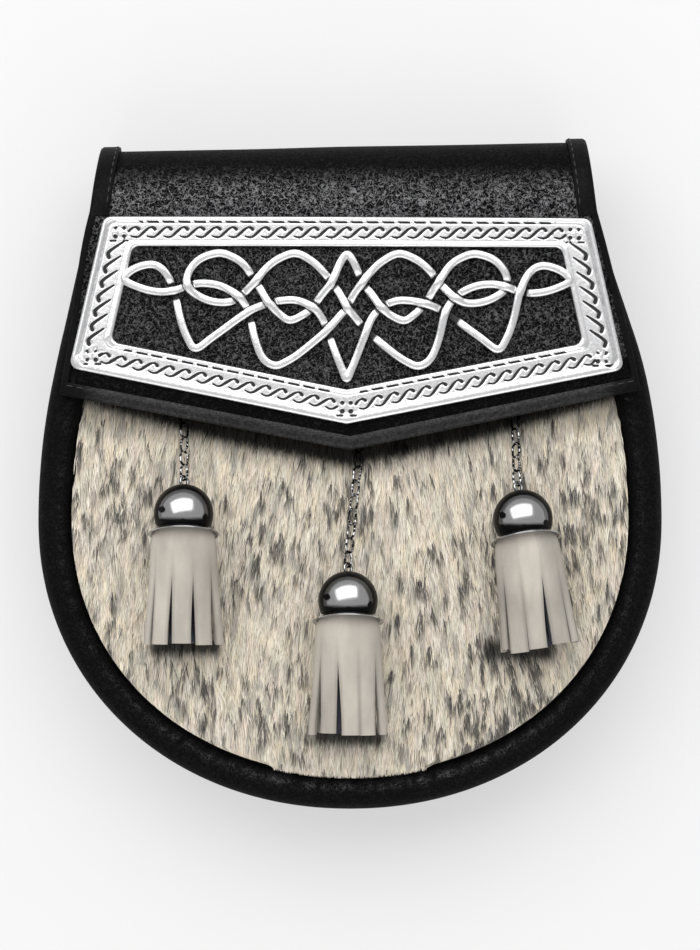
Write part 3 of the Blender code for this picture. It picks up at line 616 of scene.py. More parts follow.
class Finish:
    """A material in the making."""

    def __init__(self, name, **plain):
        self.material = bpy.data.materials.new(name)
        self.material.use_nodes = True
        self.tree = self.material.node_tree
        self.shader = self.tree.nodes["Principled BSDF"]
        for socket, value in plain.items():
            self.set(socket.replace("_", " "), value)

    def add(self, kind, values=None, inputs=None):
        """Adds any node: its settings first, then the values or links of its sockets."""
        node = self.tree.nodes.new("ShaderNode" + kind)
        for name, value in (values or {}).items():
            setattr(node, name, value)
        for place, value in (inputs or {}).items():
            self.join(value, node.inputs[place])
        return node

    def join(self, value, socket):
        if isinstance(value, Value):
            self.tree.links.new(value.socket, socket)
        elif isinstance(value, tuple) and len(value) == 3 and len(socket.default_value) == 4:
            socket.default_value = (*value, 1.0)
        else:
            socket.default_value = value

    def set(self, socket, value):
        names = {place.name.lower(): place for place in self.shader.inputs}
        self.join(value, names[socket.lower()])

    def where(self, stretch=(1, 1, 1)):
        """Object coordinates, with each axis stretched."""
        place = self.add("TexCoord").outputs["Object"]
        node = self.add("Mapping", {}, {"Vector": Value(self, place), "Scale": stretch})
        return Value(self, node.outputs[0])

    def map(self, axis):
        """One coordinate of the piece's own UV map."""
        place = Value(self, self.add("TexCoord").outputs["UV"])
        split = self.add("SeparateXYZ", {}, {0: place})
        return Value(self, split.outputs[axis])

    def noise(self, where, scale, detail=3.0, distortion=0.0):
        node = self.add("TexNoise", {}, {"Vector": where, "Scale": scale, "Detail": detail,
                                         "Distortion": distortion})
        return Value(self, node.outputs[0])

    def attribute(self, name, output=2):
        node = self.add("Attribute", {"attribute_name": name})
        return Value(self, node.outputs[output])

    def blend(self, share, first, second):
        node = self.add("Mix", {"data_type": "RGBA"}, {0: share, 6: first, 7: second})
        return Value(self, node.outputs[2])

    def bump(self, height, distance, strength=1.0):
        node = self.add("Bump", {}, {"Height": height, "Distance": distance,
                                     "Strength": strength})
        self.set("normal", Value(self, node.outputs[0]))


def lighter(colour, factor, lift=0.0):
    return tuple(min(1.0, part * factor + lift) for part in colour)


def leather_finish(name, pitch, depth, gloss, wear_and_sheen, contrast):
    """Black leather with worm-like creases; its high places are glossy and carry a painted grey
    highlight.

    An attribute of each piece takes the painted highlight away where the piece is out of the light,
    as painted shade.
    """
    colour = tuple(settings().leather.colour)
    paint = Finish(name, specular_ior_level=0.03, coat_roughness=0.24, roughness=0.55)
    where = paint.where()
    coarse = abs(paint.noise(where, 0.80 / pitch, detail=3.0, distortion=0.6) - 0.5) * 20.0
    small = abs(paint.noise(where, 1.5 / pitch, detail=2.0, distortion=0.5) - 0.5) * 14.0
    height = coarse.clamped() * (small.clamped() * 0.7 + 0.3)
    cloud = paint.noise(where, 45.0, detail=2.0)
    shine = ((cloud - 0.5) * 0.6 + 1.0) * (1 - paint.attribute("dull"))
    high = ((0.5 - height) * contrast + 0.4).clamped() * shine
    # Painted highlight: the grain's high places are painted grey, less so where the piece's painted
    # shade is high.
    paint.set("base color", paint.blend(high.clamped(), colour, (wear_and_sheen, wear_and_sheen, wear_and_sheen * 1.03)))
    paint.set("coat weight", (high * gloss).clamped())
    paint.bump(1 - height, depth)
    return paint.material


def thread_finish():
    paint = Finish("waxed_thread", base_color=(0.010, 0.010, 0.011), roughness=0.55)
    twist = paint.noise(paint.where(), 3500.0, detail=1.0)
    paint.set("base color", paint.blend(twist, (0.008, 0.008, 0.009), (0.035, 0.035, 0.037)))
    paint.bump(twist, 0.00008)
    return paint.material


def hair_finish():
    paint = Finish("hair", roughness=0.48, specular_ior_level=0.35)
    tint = Value(paint, paint.add("Attribute", {"attribute_name": "tint"}).outputs[0])
    paint.set("base color", tint)
    return paint.material


def hide_finish():
    """Short hair under the long: streaks that run down the front."""
    fur = settings().fur
    paint = Finish("under_hair", roughness=0.7, specular_ior_level=0.2)
    streak = paint.noise(paint.where((1, 0.12, 1)), 1600.0, detail=3.0)
    patch = paint.noise(paint.where((1, 0.4, 1)), 190.0, detail=3.0)
    dark = (patch.rise(0.52, 0.66) * streak.rise(0.35, 0.6)).clamped()
    shade = paint.blend(streak, lighter(tuple(fur.light), 0.72), lighter(tuple(fur.light), 1.0))
    shade = paint.blend(dark * 0.5, shade, lighter(tuple(fur.dark), 1.4))
    # The shade attribute paints the hide near black under the flap and below the tassels, as
    # painted shade.
    paint.set("base color", paint.blend(paint.attribute("shade"), shade, (0.004, 0.004, 0.004)))
    paint.bump(streak, 0.0006)
    return paint.material


def silver_finish():
    """Cast silver, blackened where its relief is low."""
    metal = settings().metal
    paint = Finish("cast_silver", metallic=1.0)
    where = paint.where()
    cast = paint.noise(where, 900.0, detail=3.0)
    relief = paint.attribute("relief")
    wear_and_sheen = (relief + (cast - 0.5) * 0.25).rise(0.30, 0.62)
    paint.set("base color", paint.blend(wear_and_sheen, tuple(metal.oxide), tuple(metal.silver)))
    paint.set("metallic", wear_and_sheen * 0.85 + 0.15)
    paint.set("roughness", 0.52 - wear_and_sheen * 0.22 + (cast - 0.5) * 0.12)
    paint.bump(cast, 0.00006)
    return paint.material


def bell_finish():
    """Bright plated metal, with painted dark reflections on its flanks and lower side, and
    blackened in the groove above the brim.
    """
    metal = settings().metal
    paint = Finish("polished_bell", metallic=1.0)
    scratches = paint.noise(paint.where(), 2600.0, detail=3.0)
    smudge = paint.noise(paint.where(), 160.0, detail=2.0)
    # On the bells the relief attribute holds painted dark reflections, besides the blackened
    # groove.
    bright = (paint.attribute("relief") + (smudge - 0.5) * 0.12).rise(0.25, 0.75)
    paint.set("base color", paint.blend(
        bright, tuple(metal.oxide), lighter(tuple(metal.silver), 0.58)))
    paint.set("roughness", 0.42 - bright * 0.27 + smudge * 0.08)
    paint.bump(scratches, 0.00001)
    return paint.material


def link_finish():
    metal = settings().metal
    paint = Finish("chain_wire", metallic=1.0, roughness=0.22)
    soot = paint.noise(paint.where(), 1200.0, detail=2.0)
    # The shade attribute paints the links near black in the flap's shade; the soot is random
    # blackening.
    paint.set("base color", paint.blend(
        (soot.rise(0.40, 0.52) + paint.attribute("shade")).clamped(),
        lighter(tuple(metal.silver), 0.80), (0.008, 0.008, 0.008)))
    paint.set("roughness", soot * 0.3 + 0.12)
    return paint.material


def strip_finish():
    """Cream leather strips with a fine grain, greyer along their edges."""
    colour = tuple(settings().tassel.colour)
    paint = Finish("cream_strips", specular_ior_level=0.25)
    where = paint.where()
    grain = paint.noise(where, 1500.0, detail=4.0)
    cloud = paint.noise(paint.where((1, 0.35, 1)), 120.0, detail=3.0)
    edge = abs(paint.map(0) - 0.5).rise(0.30, 0.5) * paint.map(1).rise(0.2, 0.6)
    # The inner attribute paints the inner strips dark as painted shade inside the tassel, and gives
    # the outer strips a random darker tone.
    inner = paint.attribute("inner")
    shade = paint.blend(cloud.rise(0.35, 0.7), lighter(colour, 1.08), lighter(colour, 0.74, 0.02))
    shade = paint.blend(edge * 0.6, shade, lighter(colour, 0.40, 0.01))
    paint.set("base color", paint.blend(inner, shade, (0.050, 0.055, 0.070)))
    paint.set("roughness", grain * 0.25 + 0.55)
    paint.bump(grain, 0.00012)
    return paint.material


def floor_finish():
    paint = Finish("pale_floor", roughness=0.9, specular_ior_level=0.0,
                   emission_color=(1.0, 1.0, 1.0), emission_strength=0.46)
    paper = paint.noise(paint.where(), 60.0, detail=2.0)
    paint.set("base color", paint.blend(paper, (0.465, 0.465, 0.465), (0.475, 0.475, 0.475)))
    return paint.material


# Pieces


def rim(name, section, width, height, inset, base_z, stations, pucker):
    """A rolled rim round the sides and bottom of the body."""
    ring = curve_through([Vector(point) for point in section], 3)
    ring.append(ring[0])
    dull = []

    def place(u, v):
        across, up = ring[round(u * (len(ring) - 1))]
        share = 2 * v - 1 or 1e-7
        point = inset_point(share, RIM_TOP_Y, inset + across * width)
        swell = noise.noise(Vector((share * 24, across, 3.1))) * 0.00025
        low = 1 - ramp(abs(share), 0.12, 0.42)
        fold = math.sin(share * 150 + 2.2 * math.sin(share * 31))
        sunk = pucker * low * ramp(across, 0.25, 0.8) * (fold + 0.4) * (up > 0.3)
        z = base_z + up * height + (swell if up > 0.2 else 0.0) - max(0.0, sunk)
        # Painted shade over the rim, with a painted highlight along its crest near the inner edge,
        # strongest along the bottom.
        crest = math.exp(-((across - 0.66) / 0.10) ** 2) * (up > 0.3) * mix(0.35, 1.0, low)
        dull.append(0.90 - 0.75 * crest * (0.6 + 2 * noise.noise(Vector((share * 90, 0, 2)))))
        return leaned(Vector((point.x, point.y, z)))

    roll = skin(name, len(ring) - 1, stations, place)
    marked(roll, "dull", dull)
    return smooth(close(roll), 60)


def stitches(name, route, pitch, length, thickness, slant=0.0):
    """A row of stitches along a route of (point, normal) pairs."""
    deselect()
    bpy.ops.mesh.primitive_uv_sphere_add(segments=8, ring_count=6, radius=0.5)
    model = bpy.context.object
    for corner in model.data.vertices:
        corner.co = Vector((corner.co.z * length, corner.co.x * thickness,
                            corner.co.y * thickness * 0.8))
    places = []
    travelled = pitch / 2
    for (start, normal), (end, _) in zip(route, route[1:]):
        leg = end - start
        while travelled < leg.length:
            along = leg.normalized()
            middle = start + along * travelled
            turn = Matrix.Rotation(slant, 4, "Z")
            places.append(axes_at(along, normal.cross(along).normalized(), middle) @ turn)
            travelled += pitch
        travelled -= leg.length
    return smooth(repeated(name, model, places), 80)


def build_sheet(leather):
    """The leather back panel, fold and flap."""

    def place(u, v):
        point = sheet_place(u, v)
        wave = noise.noise(Vector((point.x * 28, point.y * 34, point.z * 20 + 7)))
        return point + sheet_normal(u, v) * (wave * 0.0003)

    sheet = skin("leather_sheet", 48, 140, place)
    # Painted shade on the flap's grain: its painted highlight is weakened below the top of the
    # cantle and taken away just above the flap's lower edge and over the top of the fold, which
    # faces away from the light.
    dull = []
    for corner in sheet.data.vertices:
        spot = corner.co
        rise = spot.y - flap_edge_y(spot.x)
        framed = 0.48 * (1 - ramp(spot.y, PLATE_TOP_Y - 0.006, PLATE_TOP_Y - 0.003))
        lower = 0.95 * (1 - ramp(rise, 0.0095, 0.0105))
        fold = 0.97 * ramp(spot.y, SHOULDER_Y + 0.003, FOLD_TOP_Y - 0.005)
        dull.append(max(framed, lower, fold))
    marked(sheet, "dull", dull)
    modify(sheet, "SOLIDIFY", thickness=LEATHER * 0.96, offset=0.0)
    smooth(sheet, 50)
    return dress(sheet, leather, "black_leather", "back_and_flap")


def strip_corner(normal, before, after, width_before, width_after):
    """Step out from a corner of the sheet to where the sides of a strip meet."""
    before = (before - normal * before.dot(normal)).normalized()
    after = (after - normal * after.dot(normal)).normalized()
    out_before = normal.cross(before).normalized()
    out_after = normal.cross(after).normalized()
    turn = after.dot(out_before)
    if abs(turn) < 0.15:
        return (out_before + out_after).normalized() * (width_before + width_after) / 2
    return after * (width_before / turn) + before * (width_after / before.dot(out_after))


def binding_route():
    """Stations of the binding, each with the width of its lip over the flap's face."""
    shoulder = FOLD_SHARE + (1 - FOLD_SHARE) * 0.064
    sides = [mix(BACK_SHARE, FOLD_SHARE, i / 26) for i in range(27)]
    sides += [shoulder - 0.0030, shoulder - 0.0012, shoulder]
    sides += [mix(shoulder, 1.0, i / 12) for i in range(1, 13)]
    stations = [(1.0, v) for v in sides]
    stations += [(1 - i / 32, 1.0) for i in range(1, 32)]
    stations += [(0.0, v) for v in reversed(sides)]
    lips = []
    for (_, v), (_, next_v) in zip(stations, stations[1:]):
        if v == 1.0 and next_v == 1.0:
            lips.append(BINDING_LIP)
        else:
            lips.append(SHOULDER_LIP if max(v, next_v) < shoulder else SIDE_LIP)
    return stations, lips


def build_binding(leather, thread):
    """The strip folded round the flap's edge, with its stitches."""
    stations, lips = binding_route()
    points = [sheet_place(u, v) for u, v in stations]
    legs = [(after - point).normalized() for point, after in zip(points, points[1:])]
    near = LEATHER / 2 + 0.0001
    far = LEATHER / 2 + GAP + BINDING_LEATHER
    bulge = 0.0009
    rings = []
    seam = []
    for i, point in enumerate(points):
        low, high = max(0, i - 1), min(len(legs) - 1, i)
        normal = sheet_normal(*stations[i])

        def step_out(before, after):
            return strip_corner(normal, legs[low], legs[high], before, after)

        def step_in(back):
            return step_out(back - lips[low], back - lips[high])

        edge = step_out(BINDING_REACH, BINDING_REACH)
        corner = step_out(BINDING_REACH - bulge, BINDING_REACH - bulge)
        lip, soft = step_in(0.0), step_in(0.0005)
        ring = (
            lip - normal * near, lip - normal * (far - 0.0003), soft - normal * far,
            corner - normal * far, edge * 0.9 + corner * 0.1 - normal * (far - 0.0005),
            edge - normal * (far - bulge), edge + normal * (far - bulge),
            edge * 0.9 + corner * 0.1 + normal * (far - 0.0005), corner + normal * far,
            soft + normal * far, lip + normal * (far - 0.0003), lip + normal * near,
        )
        rings.append([point + offset for offset in ring])
        seam.append((point + step_in(0.0009) + normal * (far + 0.00005), normal))
    strip = skin("binding_strip", len(rings[0]), len(rings) - 1,
                 lambda u, v: rings[round(v * (len(rings) - 1))][
                     round(u * len(rings[0])) % len(rings[0])])
    # Painted shade on the binding, except on its lower V-shaped stretch, which keeps its painted
    # grey highlight.
    marked(strip, "dull", [
        0.85 * max(ramp(corner.co.y, FLAP_CORNER_Y + 0.001, FLAP_CORNER_Y + 0.006),
                   ramp(abs(corner.co.x), 0.074, 0.083))
        for corner in strip.data.vertices])
    smooth(close(strip), 50)
    dress(strip, leather, "rim_leather", "flap_binding")
    narrow = [i for i, lip in enumerate(lips) if lip == SIDE_LIP]
    first, last = narrow[0], narrow[-1] + 1
    lower = [i for i, lip in enumerate(lips) if lip == BINDING_LIP]
    rows = (seam[:first - 1], seam[lower[0]:lower[-1] + 2], seam[last + 2:])
    for name, row in zip(("right", "lower", "left"), rows):
        line = stitches("binding_stitches_" + name, row, 0.0031, 0.0022, 0.00045)
        dress(line, thread, "rim_leather")
    return strip


def build_walls(leather):
    """The pleated wall between the rims."""

    def place(u, v):
        pleat = math.sin(math.pi * v) ** 0.8 * GUSSET_PLEAT
        crease = 0.0006 * math.exp(-((v - 0.5) * 14) ** 2)
        share = 2 * u - 1 or 1e-7
        wave = noise.noise(Vector((share * 14, v * 2, 5.0))) * 0.0005 * math.sin(math.pi * v)
        point = inset_point(share, RIM_TOP_Y, GUSSET_INSET + pleat + crease + wave)
        return leaned(Vector((point.x, point.y, GUSSET_Z + v * GUSSET_DEPTH)))

    wall = skin("pleated_wall", 150, 14, place)
    # Painted shade: the walls keep only part of the grain's painted highlight.
    marked(wall, "dull", [0.75] * len(wall.data.vertices))
    modify(wall, "SOLIDIFY", thickness=PANEL_LEATHER * 0.94, offset=0.0)
    smooth(wall, 50)
    dress(wall, leather, "black_leather", "gusset")
    coat(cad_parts["front_panel"], leather)


def build_rims(leather):
    front = rim("rolled_front_rim", FRONT_RIM_SECTION, FRONT_RIM_WIDTH,
                FRONT_Z + FRONT_RIM_HEIGHT - PANEL_Z, 0.0, PANEL_Z, 260, 0.0011)
    dress(front, leather, "rim_leather", "front_rim")
    back = rim("rolled_back_rim", BACK_RIM_SECTION, BACK_RIM_WIDTH, BACK_INNER_Z + GAP,
               BACK_RIM_INSET, 0.0, 200, 0.0)
    dress(back, leather, "rim_leather", "back_rim")


def vector_width(y):
    """half_width for an array of heights."""
    fall = np.clip((WIDEST_Y - y) / LOWER_HEIGHT, 0, 1)
    low = BODY_HALF_WIDTH * (1 - fall**LOWER_ROUNDNESS) ** (1 / LOWER_ROUNDNESS)
    reach = np.minimum(y, SIDE_TOP_Y) - WIDEST_Y
    high = BODY_HALF_WIDTH - SIDE_RADIUS + np.sqrt(SIDE_RADIUS**2 - reach**2)
    high = high - SIDE_TAPER * np.clip(y - SIDE_TOP_Y, 0, None)
    return np.where(y < WIDEST_Y, low, high)


def vector_crown(x, y):
    across = 1 - np.clip(np.abs(x) / np.maximum(vector_width(y), 1e-6), 0, 1) ** 2
    fall = np.clip((WIDEST_Y - y) / LOWER_HEIGHT, 0, None)
    return CROWN * across * (1 - fall * fall)


def flap_line(x):
    """Height of the binding's lower edge, for an array of places across."""
    share = np.clip(np.abs(x) / flap_half(FLAP_CORNER_Y), 0, 1)
    return mix(FLAP_POINT_Y, FLAP_CORNER_Y, share) + FLAP_SLOPE * x


def vector_thickness(x, y):
    below = flap_line(x) - y
    share = np.clip((below - FUR_RISE * 0.15) / (FUR_RISE * 0.85), 0, 1)
    return mix(FUR_PRESSED, FUR_FULL, eased(share))


# Fur


FUR_PIECES = 3
HAIR_LIFT = 0.0021
HAIR_UNDER_FLAP = 0.006
HAIR_OVER_RIM = 0.0004
# Shares of a hair's length and of its width at each of its rungs, and the tints of its locks
HAIR_RUNGS = ((0.0, 0.8), (0.42, 1.0), (0.78, 0.62), (1.0, 0.0))
HAIR_HUES = ((1.02, 0.99, 0.92), (1.01, 0.97, 0.96), (0.98, 1.0, 0.97), (1.0, 1.0, 1.01))
HAIR_CORNERS = (0, 1, 3, 2, 2, 3, 5, 4, 4, 5, 6)
HAIR_FACES = (0, 4, 8)
HAIR_U = (0, 1, 1, 0, 0, 1, 1, 0, 0, 1, 0.5)
HAIR_V = (0, 0, 0.42, 0.42, 0.42, 0.42, 0.78, 0.78, 0.78, 0.78, 1)
LIMIT_STATIONS = 240
LOWEST_LIMIT = 24
LOCK_WIDTH = 0.0009
LOCK_LENGTH = 0.0040
LOCK_TABLE = 509
# Where dark hair gathers: place, reach and strength
DARK_PATCHES = (
    (-0.027, -0.016, 0.016, 0.9), (-0.054, -0.062, 0.022, 0.8), (0.074, -0.020, 0.018, 0.9),
    (-0.002, -0.010, 0.014, 0.7), (-0.072, -0.004, 0.014, 0.7), (0.030, -0.070, 0.022, 0.7),
    (0.052, -0.066, 0.016, 0.6), (-0.020, -0.072, 0.016, 0.6), (0.030, -0.030, 0.018, 0.5),
)


def hair_roots(draw, count, limit_x, limit_y):
    """Random places on the front, below the flap's edge and a little under it."""
    x = draw.uniform(-BODY_HALF_WIDTH, BODY_HALF_WIDTH, count * 3)
    y = draw.uniform(limit_y[0], FLAP_CORNER_Y + HAIR_UNDER_FLAP, count * 3)
    kept = (np.abs(x) < np.interp(y, limit_y, limit_x)) & (y < flap_line(x) + HAIR_UNDER_FLAP)
    return x[kept][:count], y[kept][:count]


def darkness_at(x, y):
    """How much dark hair grows at a place: patches broken into short streaks."""
    patch = 0.5 * noise.noise(Vector((x * 26, y * 18, 4.2)))
    for across, down, reach, strength in DARK_PATCHES:
        away = ((x - across) ** 2 + (y - down) ** 2) / reach**2
        patch += strength * math.exp(-away)
    streak = noise.noise(Vector((x * 1400, y * 190, 9.7)))
    return ramp(streak + 0.27 * min(patch, 1.1), 0.50, 0.62)


def shade_under(x, y):
    """How deep in the flap's shade a place of the fur lies, for arrays of places."""
    below = flap_line(x) - y
    reach = 0.0054 - 0.0040 * np.clip((np.abs(x) - 0.036) / 0.044, 0, 1)
    shade = 1 - np.clip((below - reach + 0.0010) / 0.0022, 0, 1)
    # Painted shadow on the fur below the lower end of each tassel.
    for _, across, along, _, length, _, _ in TASSELS:
        foot = (along - length) * BODY_HALF_WIDTH - BELL_LENGTH
        aside = np.clip(1.15 - np.abs(x - across * BODY_HALF_WIDTH) / 0.0105, 0, 1)
        near = np.clip(1 - np.abs(y - foot + 0.0004) / 0.0042, 0, 1)
        shade = np.maximum(shade, np.clip(aside * 4, 0, 1) * np.clip(near * 2.2, 0, 1) * 0.93)
    return shade


def fur_limits():
    """The right half of the fur's outline, as arrays of x and y from the bottom up."""
    border = [inset_point(i / LIMIT_STATIONS, RIM_TOP_Y, FRONT_RIM_WIDTH + HAIR_OVER_RIM)
              for i in range(LIMIT_STATIONS + 1)]
    border[0].x = 0.0
    return np.array([point.x for point in border]), np.array([point.y for point in border])


def locks_at(x, y):
    """Middle, lean, lift, tint and hue of the lock that each hair belongs to."""
    column = np.floor(x / LOCK_WIDTH + 0.35 * np.sin(y * 900)).astype(int)
    row = np.floor(y / LOCK_LENGTH + 0.5 * (column % 2) + 0.3 * np.sin(column * 1.7)).astype(int)
    key = (column * 73 + row * 151) % LOCK_TABLE
    table = np.random.default_rng(11)
    lean = table.normal(0, 0.09, LOCK_TABLE)[key]
    lift = table.uniform(0.55, 1.0, LOCK_TABLE)[key]
    tint = table.uniform(0, 1, LOCK_TABLE)[key]
    hue = table.uniform(0, 1, LOCK_TABLE)[(key * 7 + 13) % LOCK_TABLE]
    return (column + 0.5) * LOCK_WIDTH, lean, lift, tint, hue


def hair_mesh(points, tint):
    """A mesh of hairs from the seven corners of each and their colours."""
    count = len(points)
    first = np.arange(count)[:, None]
    mesh = bpy.data.meshes.new("hair")
    mesh.vertices.add(count * 7)
    mesh.loops.add(count * 11)
    mesh.polygons.add(count * 3)
    corners = first * 7 + np.array(HAIR_CORNERS)
    starts = first * 11 + np.array(HAIR_FACES)
    mesh.vertices.foreach_set("co", points.astype(np.float32).ravel())
    mesh.loops.foreach_set("vertex_index", corners.astype(np.int32).ravel())
    mesh.polygons.foreach_set("loop_start", starts.astype(np.int32).ravel())
    mesh.polygons.foreach_set("use_smooth", np.ones(count * 3, bool))
    mesh.update(calc_edges=True)
    colours = mesh.attributes.new("tint", "FLOAT_COLOR", "POINT")
    colours.data.foreach_set("color", tint.astype(np.float32).ravel())
    # Each hair has its own cell of the map, so that its tint bakes along it
    cells = math.ceil(math.sqrt(count))
    u = np.array(HAIR_U) * 0.6 + 0.2
    v = np.array(HAIR_V) * 0.8 + 0.1
    uv = np.stack([(first % cells + u) / cells, (first // cells + v) / cells], -1)
    mesh.uv_layers.new(name="OFBake").data.foreach_set("uv", uv.astype(np.float32).ravel())
    return mesh


def build_hair(index, draw, hair):
    """One piece of the fur: flat tapering hairs, each of two long faces and a tip."""
    fur = settings().fur
    limit_x, limit_y = fur_limits()
    lowest = limit_y < WIDEST_Y
    x, y = hair_roots(draw, fur.strands, limit_x, limit_y)
    count = len(x)
    centre, lock_lean, lock_lift, lock_tint, lock_hue = locks_at(x, y)
    patches = np.array([darkness_at(a, b) for a, b in zip(x, y)])
    lean = 0.16 * x / BODY_HALF_WIDTH + lock_lean + draw.normal(0, 0.07, count)
    lean += 0.18 * np.sin(x * 60 + y * 35) * 0.5
    length = fur.length * draw.uniform(0.62, 1.12, count)
    room = y - np.interp(np.abs(x), limit_x[lowest], limit_y[lowest])
    length = np.minimum(length, np.maximum(room + draw.uniform(0.0006, 0.0016, count), 0.0014))
    way = np.stack([np.sin(lean), -np.cos(lean)], 1)
    aside = np.stack([-way[:, 1], way[:, 0]], 1)
    roll = draw.normal(0, 0.45, count)
    width = fur.width * draw.uniform(0.7, 1.25, count)
    lift = HAIR_LIFT * lock_lift * draw.uniform(0.55, 1.05, count)
    sway = draw.normal(0, 0.00022, count)
    points = np.empty((count, 7, 3))
    tint = np.empty((count, 7, 4))
    tint[..., 3] = 1.0
    light, dark = np.array(fur.light), np.array(fur.dark)
    warm = draw.uniform(0, 1, count)[:, None]
    shade = np.clip(0.86 + 0.20 * draw.uniform(0, 1, count) + 0.34 * (lock_tint - 0.5), 0.3, 1.15)
    hues = np.array(HAIR_HUES)[(lock_hue * 4).astype(int)]
    pale = light * hues * mix(0.96, 1.04, warm) * shade[:, None]
    depth = patches * draw.uniform(0.72, 1.0, count)
    lift = np.where(depth > 0.45, HAIR_LIFT * draw.uniform(0.92, 1.12, count), lift)
    depth = np.clip(depth, 0, 0.97)[:, None]
    grey = (lock_tint < 0.16)[:, None] * 0.45
    for spot, (t, taper) in enumerate(HAIR_RUNGS):
        reach = length * t
        across = x + way[:, 0] * reach + aside[:, 0] * sway * math.sin(t * 4)
        across = mix(across, centre + way[:, 0] * reach, 0.55 * t * t)
        down = y + way[:, 1] * reach
        room = np.interp(np.maximum(down, limit_y[LOWEST_LIMIT]), limit_y, limit_x) + HAIR_OVER_RIM
        across = np.clip(across, -room, room)
        ground = FRONT_Z + vector_crown(across, down) + vector_thickness(across, down)
        height = ground - HAIR_LIFT + lift * (1 - (1 - t) ** 2) - 0.0004 * (1 - t)
        middle = np.stack([across, down, height], 1)
        side = np.stack([aside[:, 0] * np.cos(roll), aside[:, 1] * np.cos(roll),
                         np.sin(roll)], 1) * (width * taper / 2)[:, None]
        # Pale hair is painted darker towards its root as painted shade deep in the fur, and the
        # painted shade under the flap and below the tassels darkens it further.
        colour = mix(pale * (0.80 + 0.20 * t), dark * (0.6 + 1.0 * warm), depth)
        colour = colour * (1 - 0.97 * shade_under(across, down))[:, None]
        colour = mix(colour, colour * np.array((0.55, 0.57, 0.61)), grey)
        tint[:, 2 * spot, :3] = colour
        if spot < 3:
            points[:, 2 * spot] = middle - side
            points[:, 2 * spot + 1] = middle + side
            tint[:, 2 * spot + 1, :3] = colour
        else:
            points[:, 6] = middle
    flat = points.reshape(-1, 3)
    high = np.clip(flat[:, 1], LEAN_FROM_Y, SHOULDER_Y)
    share = (high - LEAN_FROM_Y) / (SHOULDER_Y - LEAN_FROM_Y)
    flat[:, 0] += TOP_LEAN * eased(share)
    piece = bpy.data.objects.new(f"fur_hair_{index}", hair_mesh(points, tint))
    bpy.context.scene.collection.objects.link(piece)
    return dress(piece, hair, "fur")


def build_fur(under, hair):
    """The hide under the hair, and the hair in pieces of a size that keeps well."""

    def place(u, v):
        point = inset_point(mix(0.02, 1.0, v), RIM_TOP_Y, FRONT_RIM_WIDTH + SEAM)
        x = (2 * u - 1) * point.x
        edge = max(abs(2 * u - 1) ** 10, (1 - v) ** 16)
        height = fur_thickness(x, point.y) * (1 - 0.2 * edge) - HAIR_LIFT
        ripple = noise.noise(Vector((x * 420, point.y * 90, 1.0))) * 0.0003
        z = FRONT_Z + crown(x, point.y) + max(0.0006, height) + ripple
        return leaned(Vector((x, point.y, z)))

    hide = skin("fur_hide", 90, 110, place)
    edit(hide)
    bpy.ops.mesh.extrude_region_move()
    bpy.ops.object.mode_set(mode="OBJECT")
    for corner in hide.data.vertices:
        if corner.select:
            continue
        corner.co.z = FRONT_Z + crown(corner.co.x, corner.co.y)
    close(hide)
    # Painted shade under the flap and below the tassels, kept for the hide's colour.
    spots = [corner.co for corner in hide.data.vertices]
    shade = shade_under(np.array([spot.x for spot in spots]), np.array([spot.y for spot in spots]))
    marked(hide, "shade", [float(value) for value in shade])
    smooth(hide, 60)
    dress(hide, under, "fur", "fur_panel")
    draw = np.random.default_rng(5)
    for index in range(FUR_PIECES):
        build_hair(index + 1, draw, hair)


# Cantle


def plate_corners():
    """Corners of the cantle plate, clockwise from the top left, and its border widths."""
    top = flap_half(PLATE_TOP_Y) - PLATE_TOP_MARGIN
    wide = flap_half(PLATE_CORNER_Y) - PLATE_WIDE_MARGIN
    corners = [
        Vector((-top, PLATE_TOP_Y)), Vector((top, PLATE_TOP_Y)),
        Vector((wide, PLATE_CORNER_Y)), Vector((0.0, PLATE_POINT_Y)),
        Vector((-wide, PLATE_CORNER_Y)),
    ]
    return corners, [BORDER_TOP, BORDER_SIDE, BORDER_LOW, BORDER_LOW, BORDER_SIDE]


def corner_lines(corners, widths):
    """Moves each side of a convex outline inwards by its width, and gives the new corners."""
    count = len(corners)
    middle = sum(corners, Vector((0, 0))) / count
    sides = []
    for i, corner in enumerate(corners):
        along = (corners[(i + 1) % count] - corner).normalized()
        inward = Vector((-along.y, along.x))
        if inward.dot(middle - corner) < 0:
            inward = -inward
        sides.append((corner + inward * widths[i], along))
    moved = []
    for i in range(count):
        start, along = sides[i - 1]
        other, across = sides[i]
        gap = other - start
        share = (gap.x * across.y - gap.y * across.x) / (along.x * across.y - along.y * across.x)
        moved.append(start + along * share)
    return moved


def bowed(point):
    """A point of the flat cantle put on the flap's face."""
    turned = Matrix.Rotation(PLATE_TURN, 4, "Z") @ point
    x = turned.x + PLATE_X
    lean = leaned(Vector((x, turned.y, 0))).x - x
    surface = flap_middle_z(x - lean) + LEATHER / 2 + GAP
    return Vector((x, turned.y, turned.z + surface))


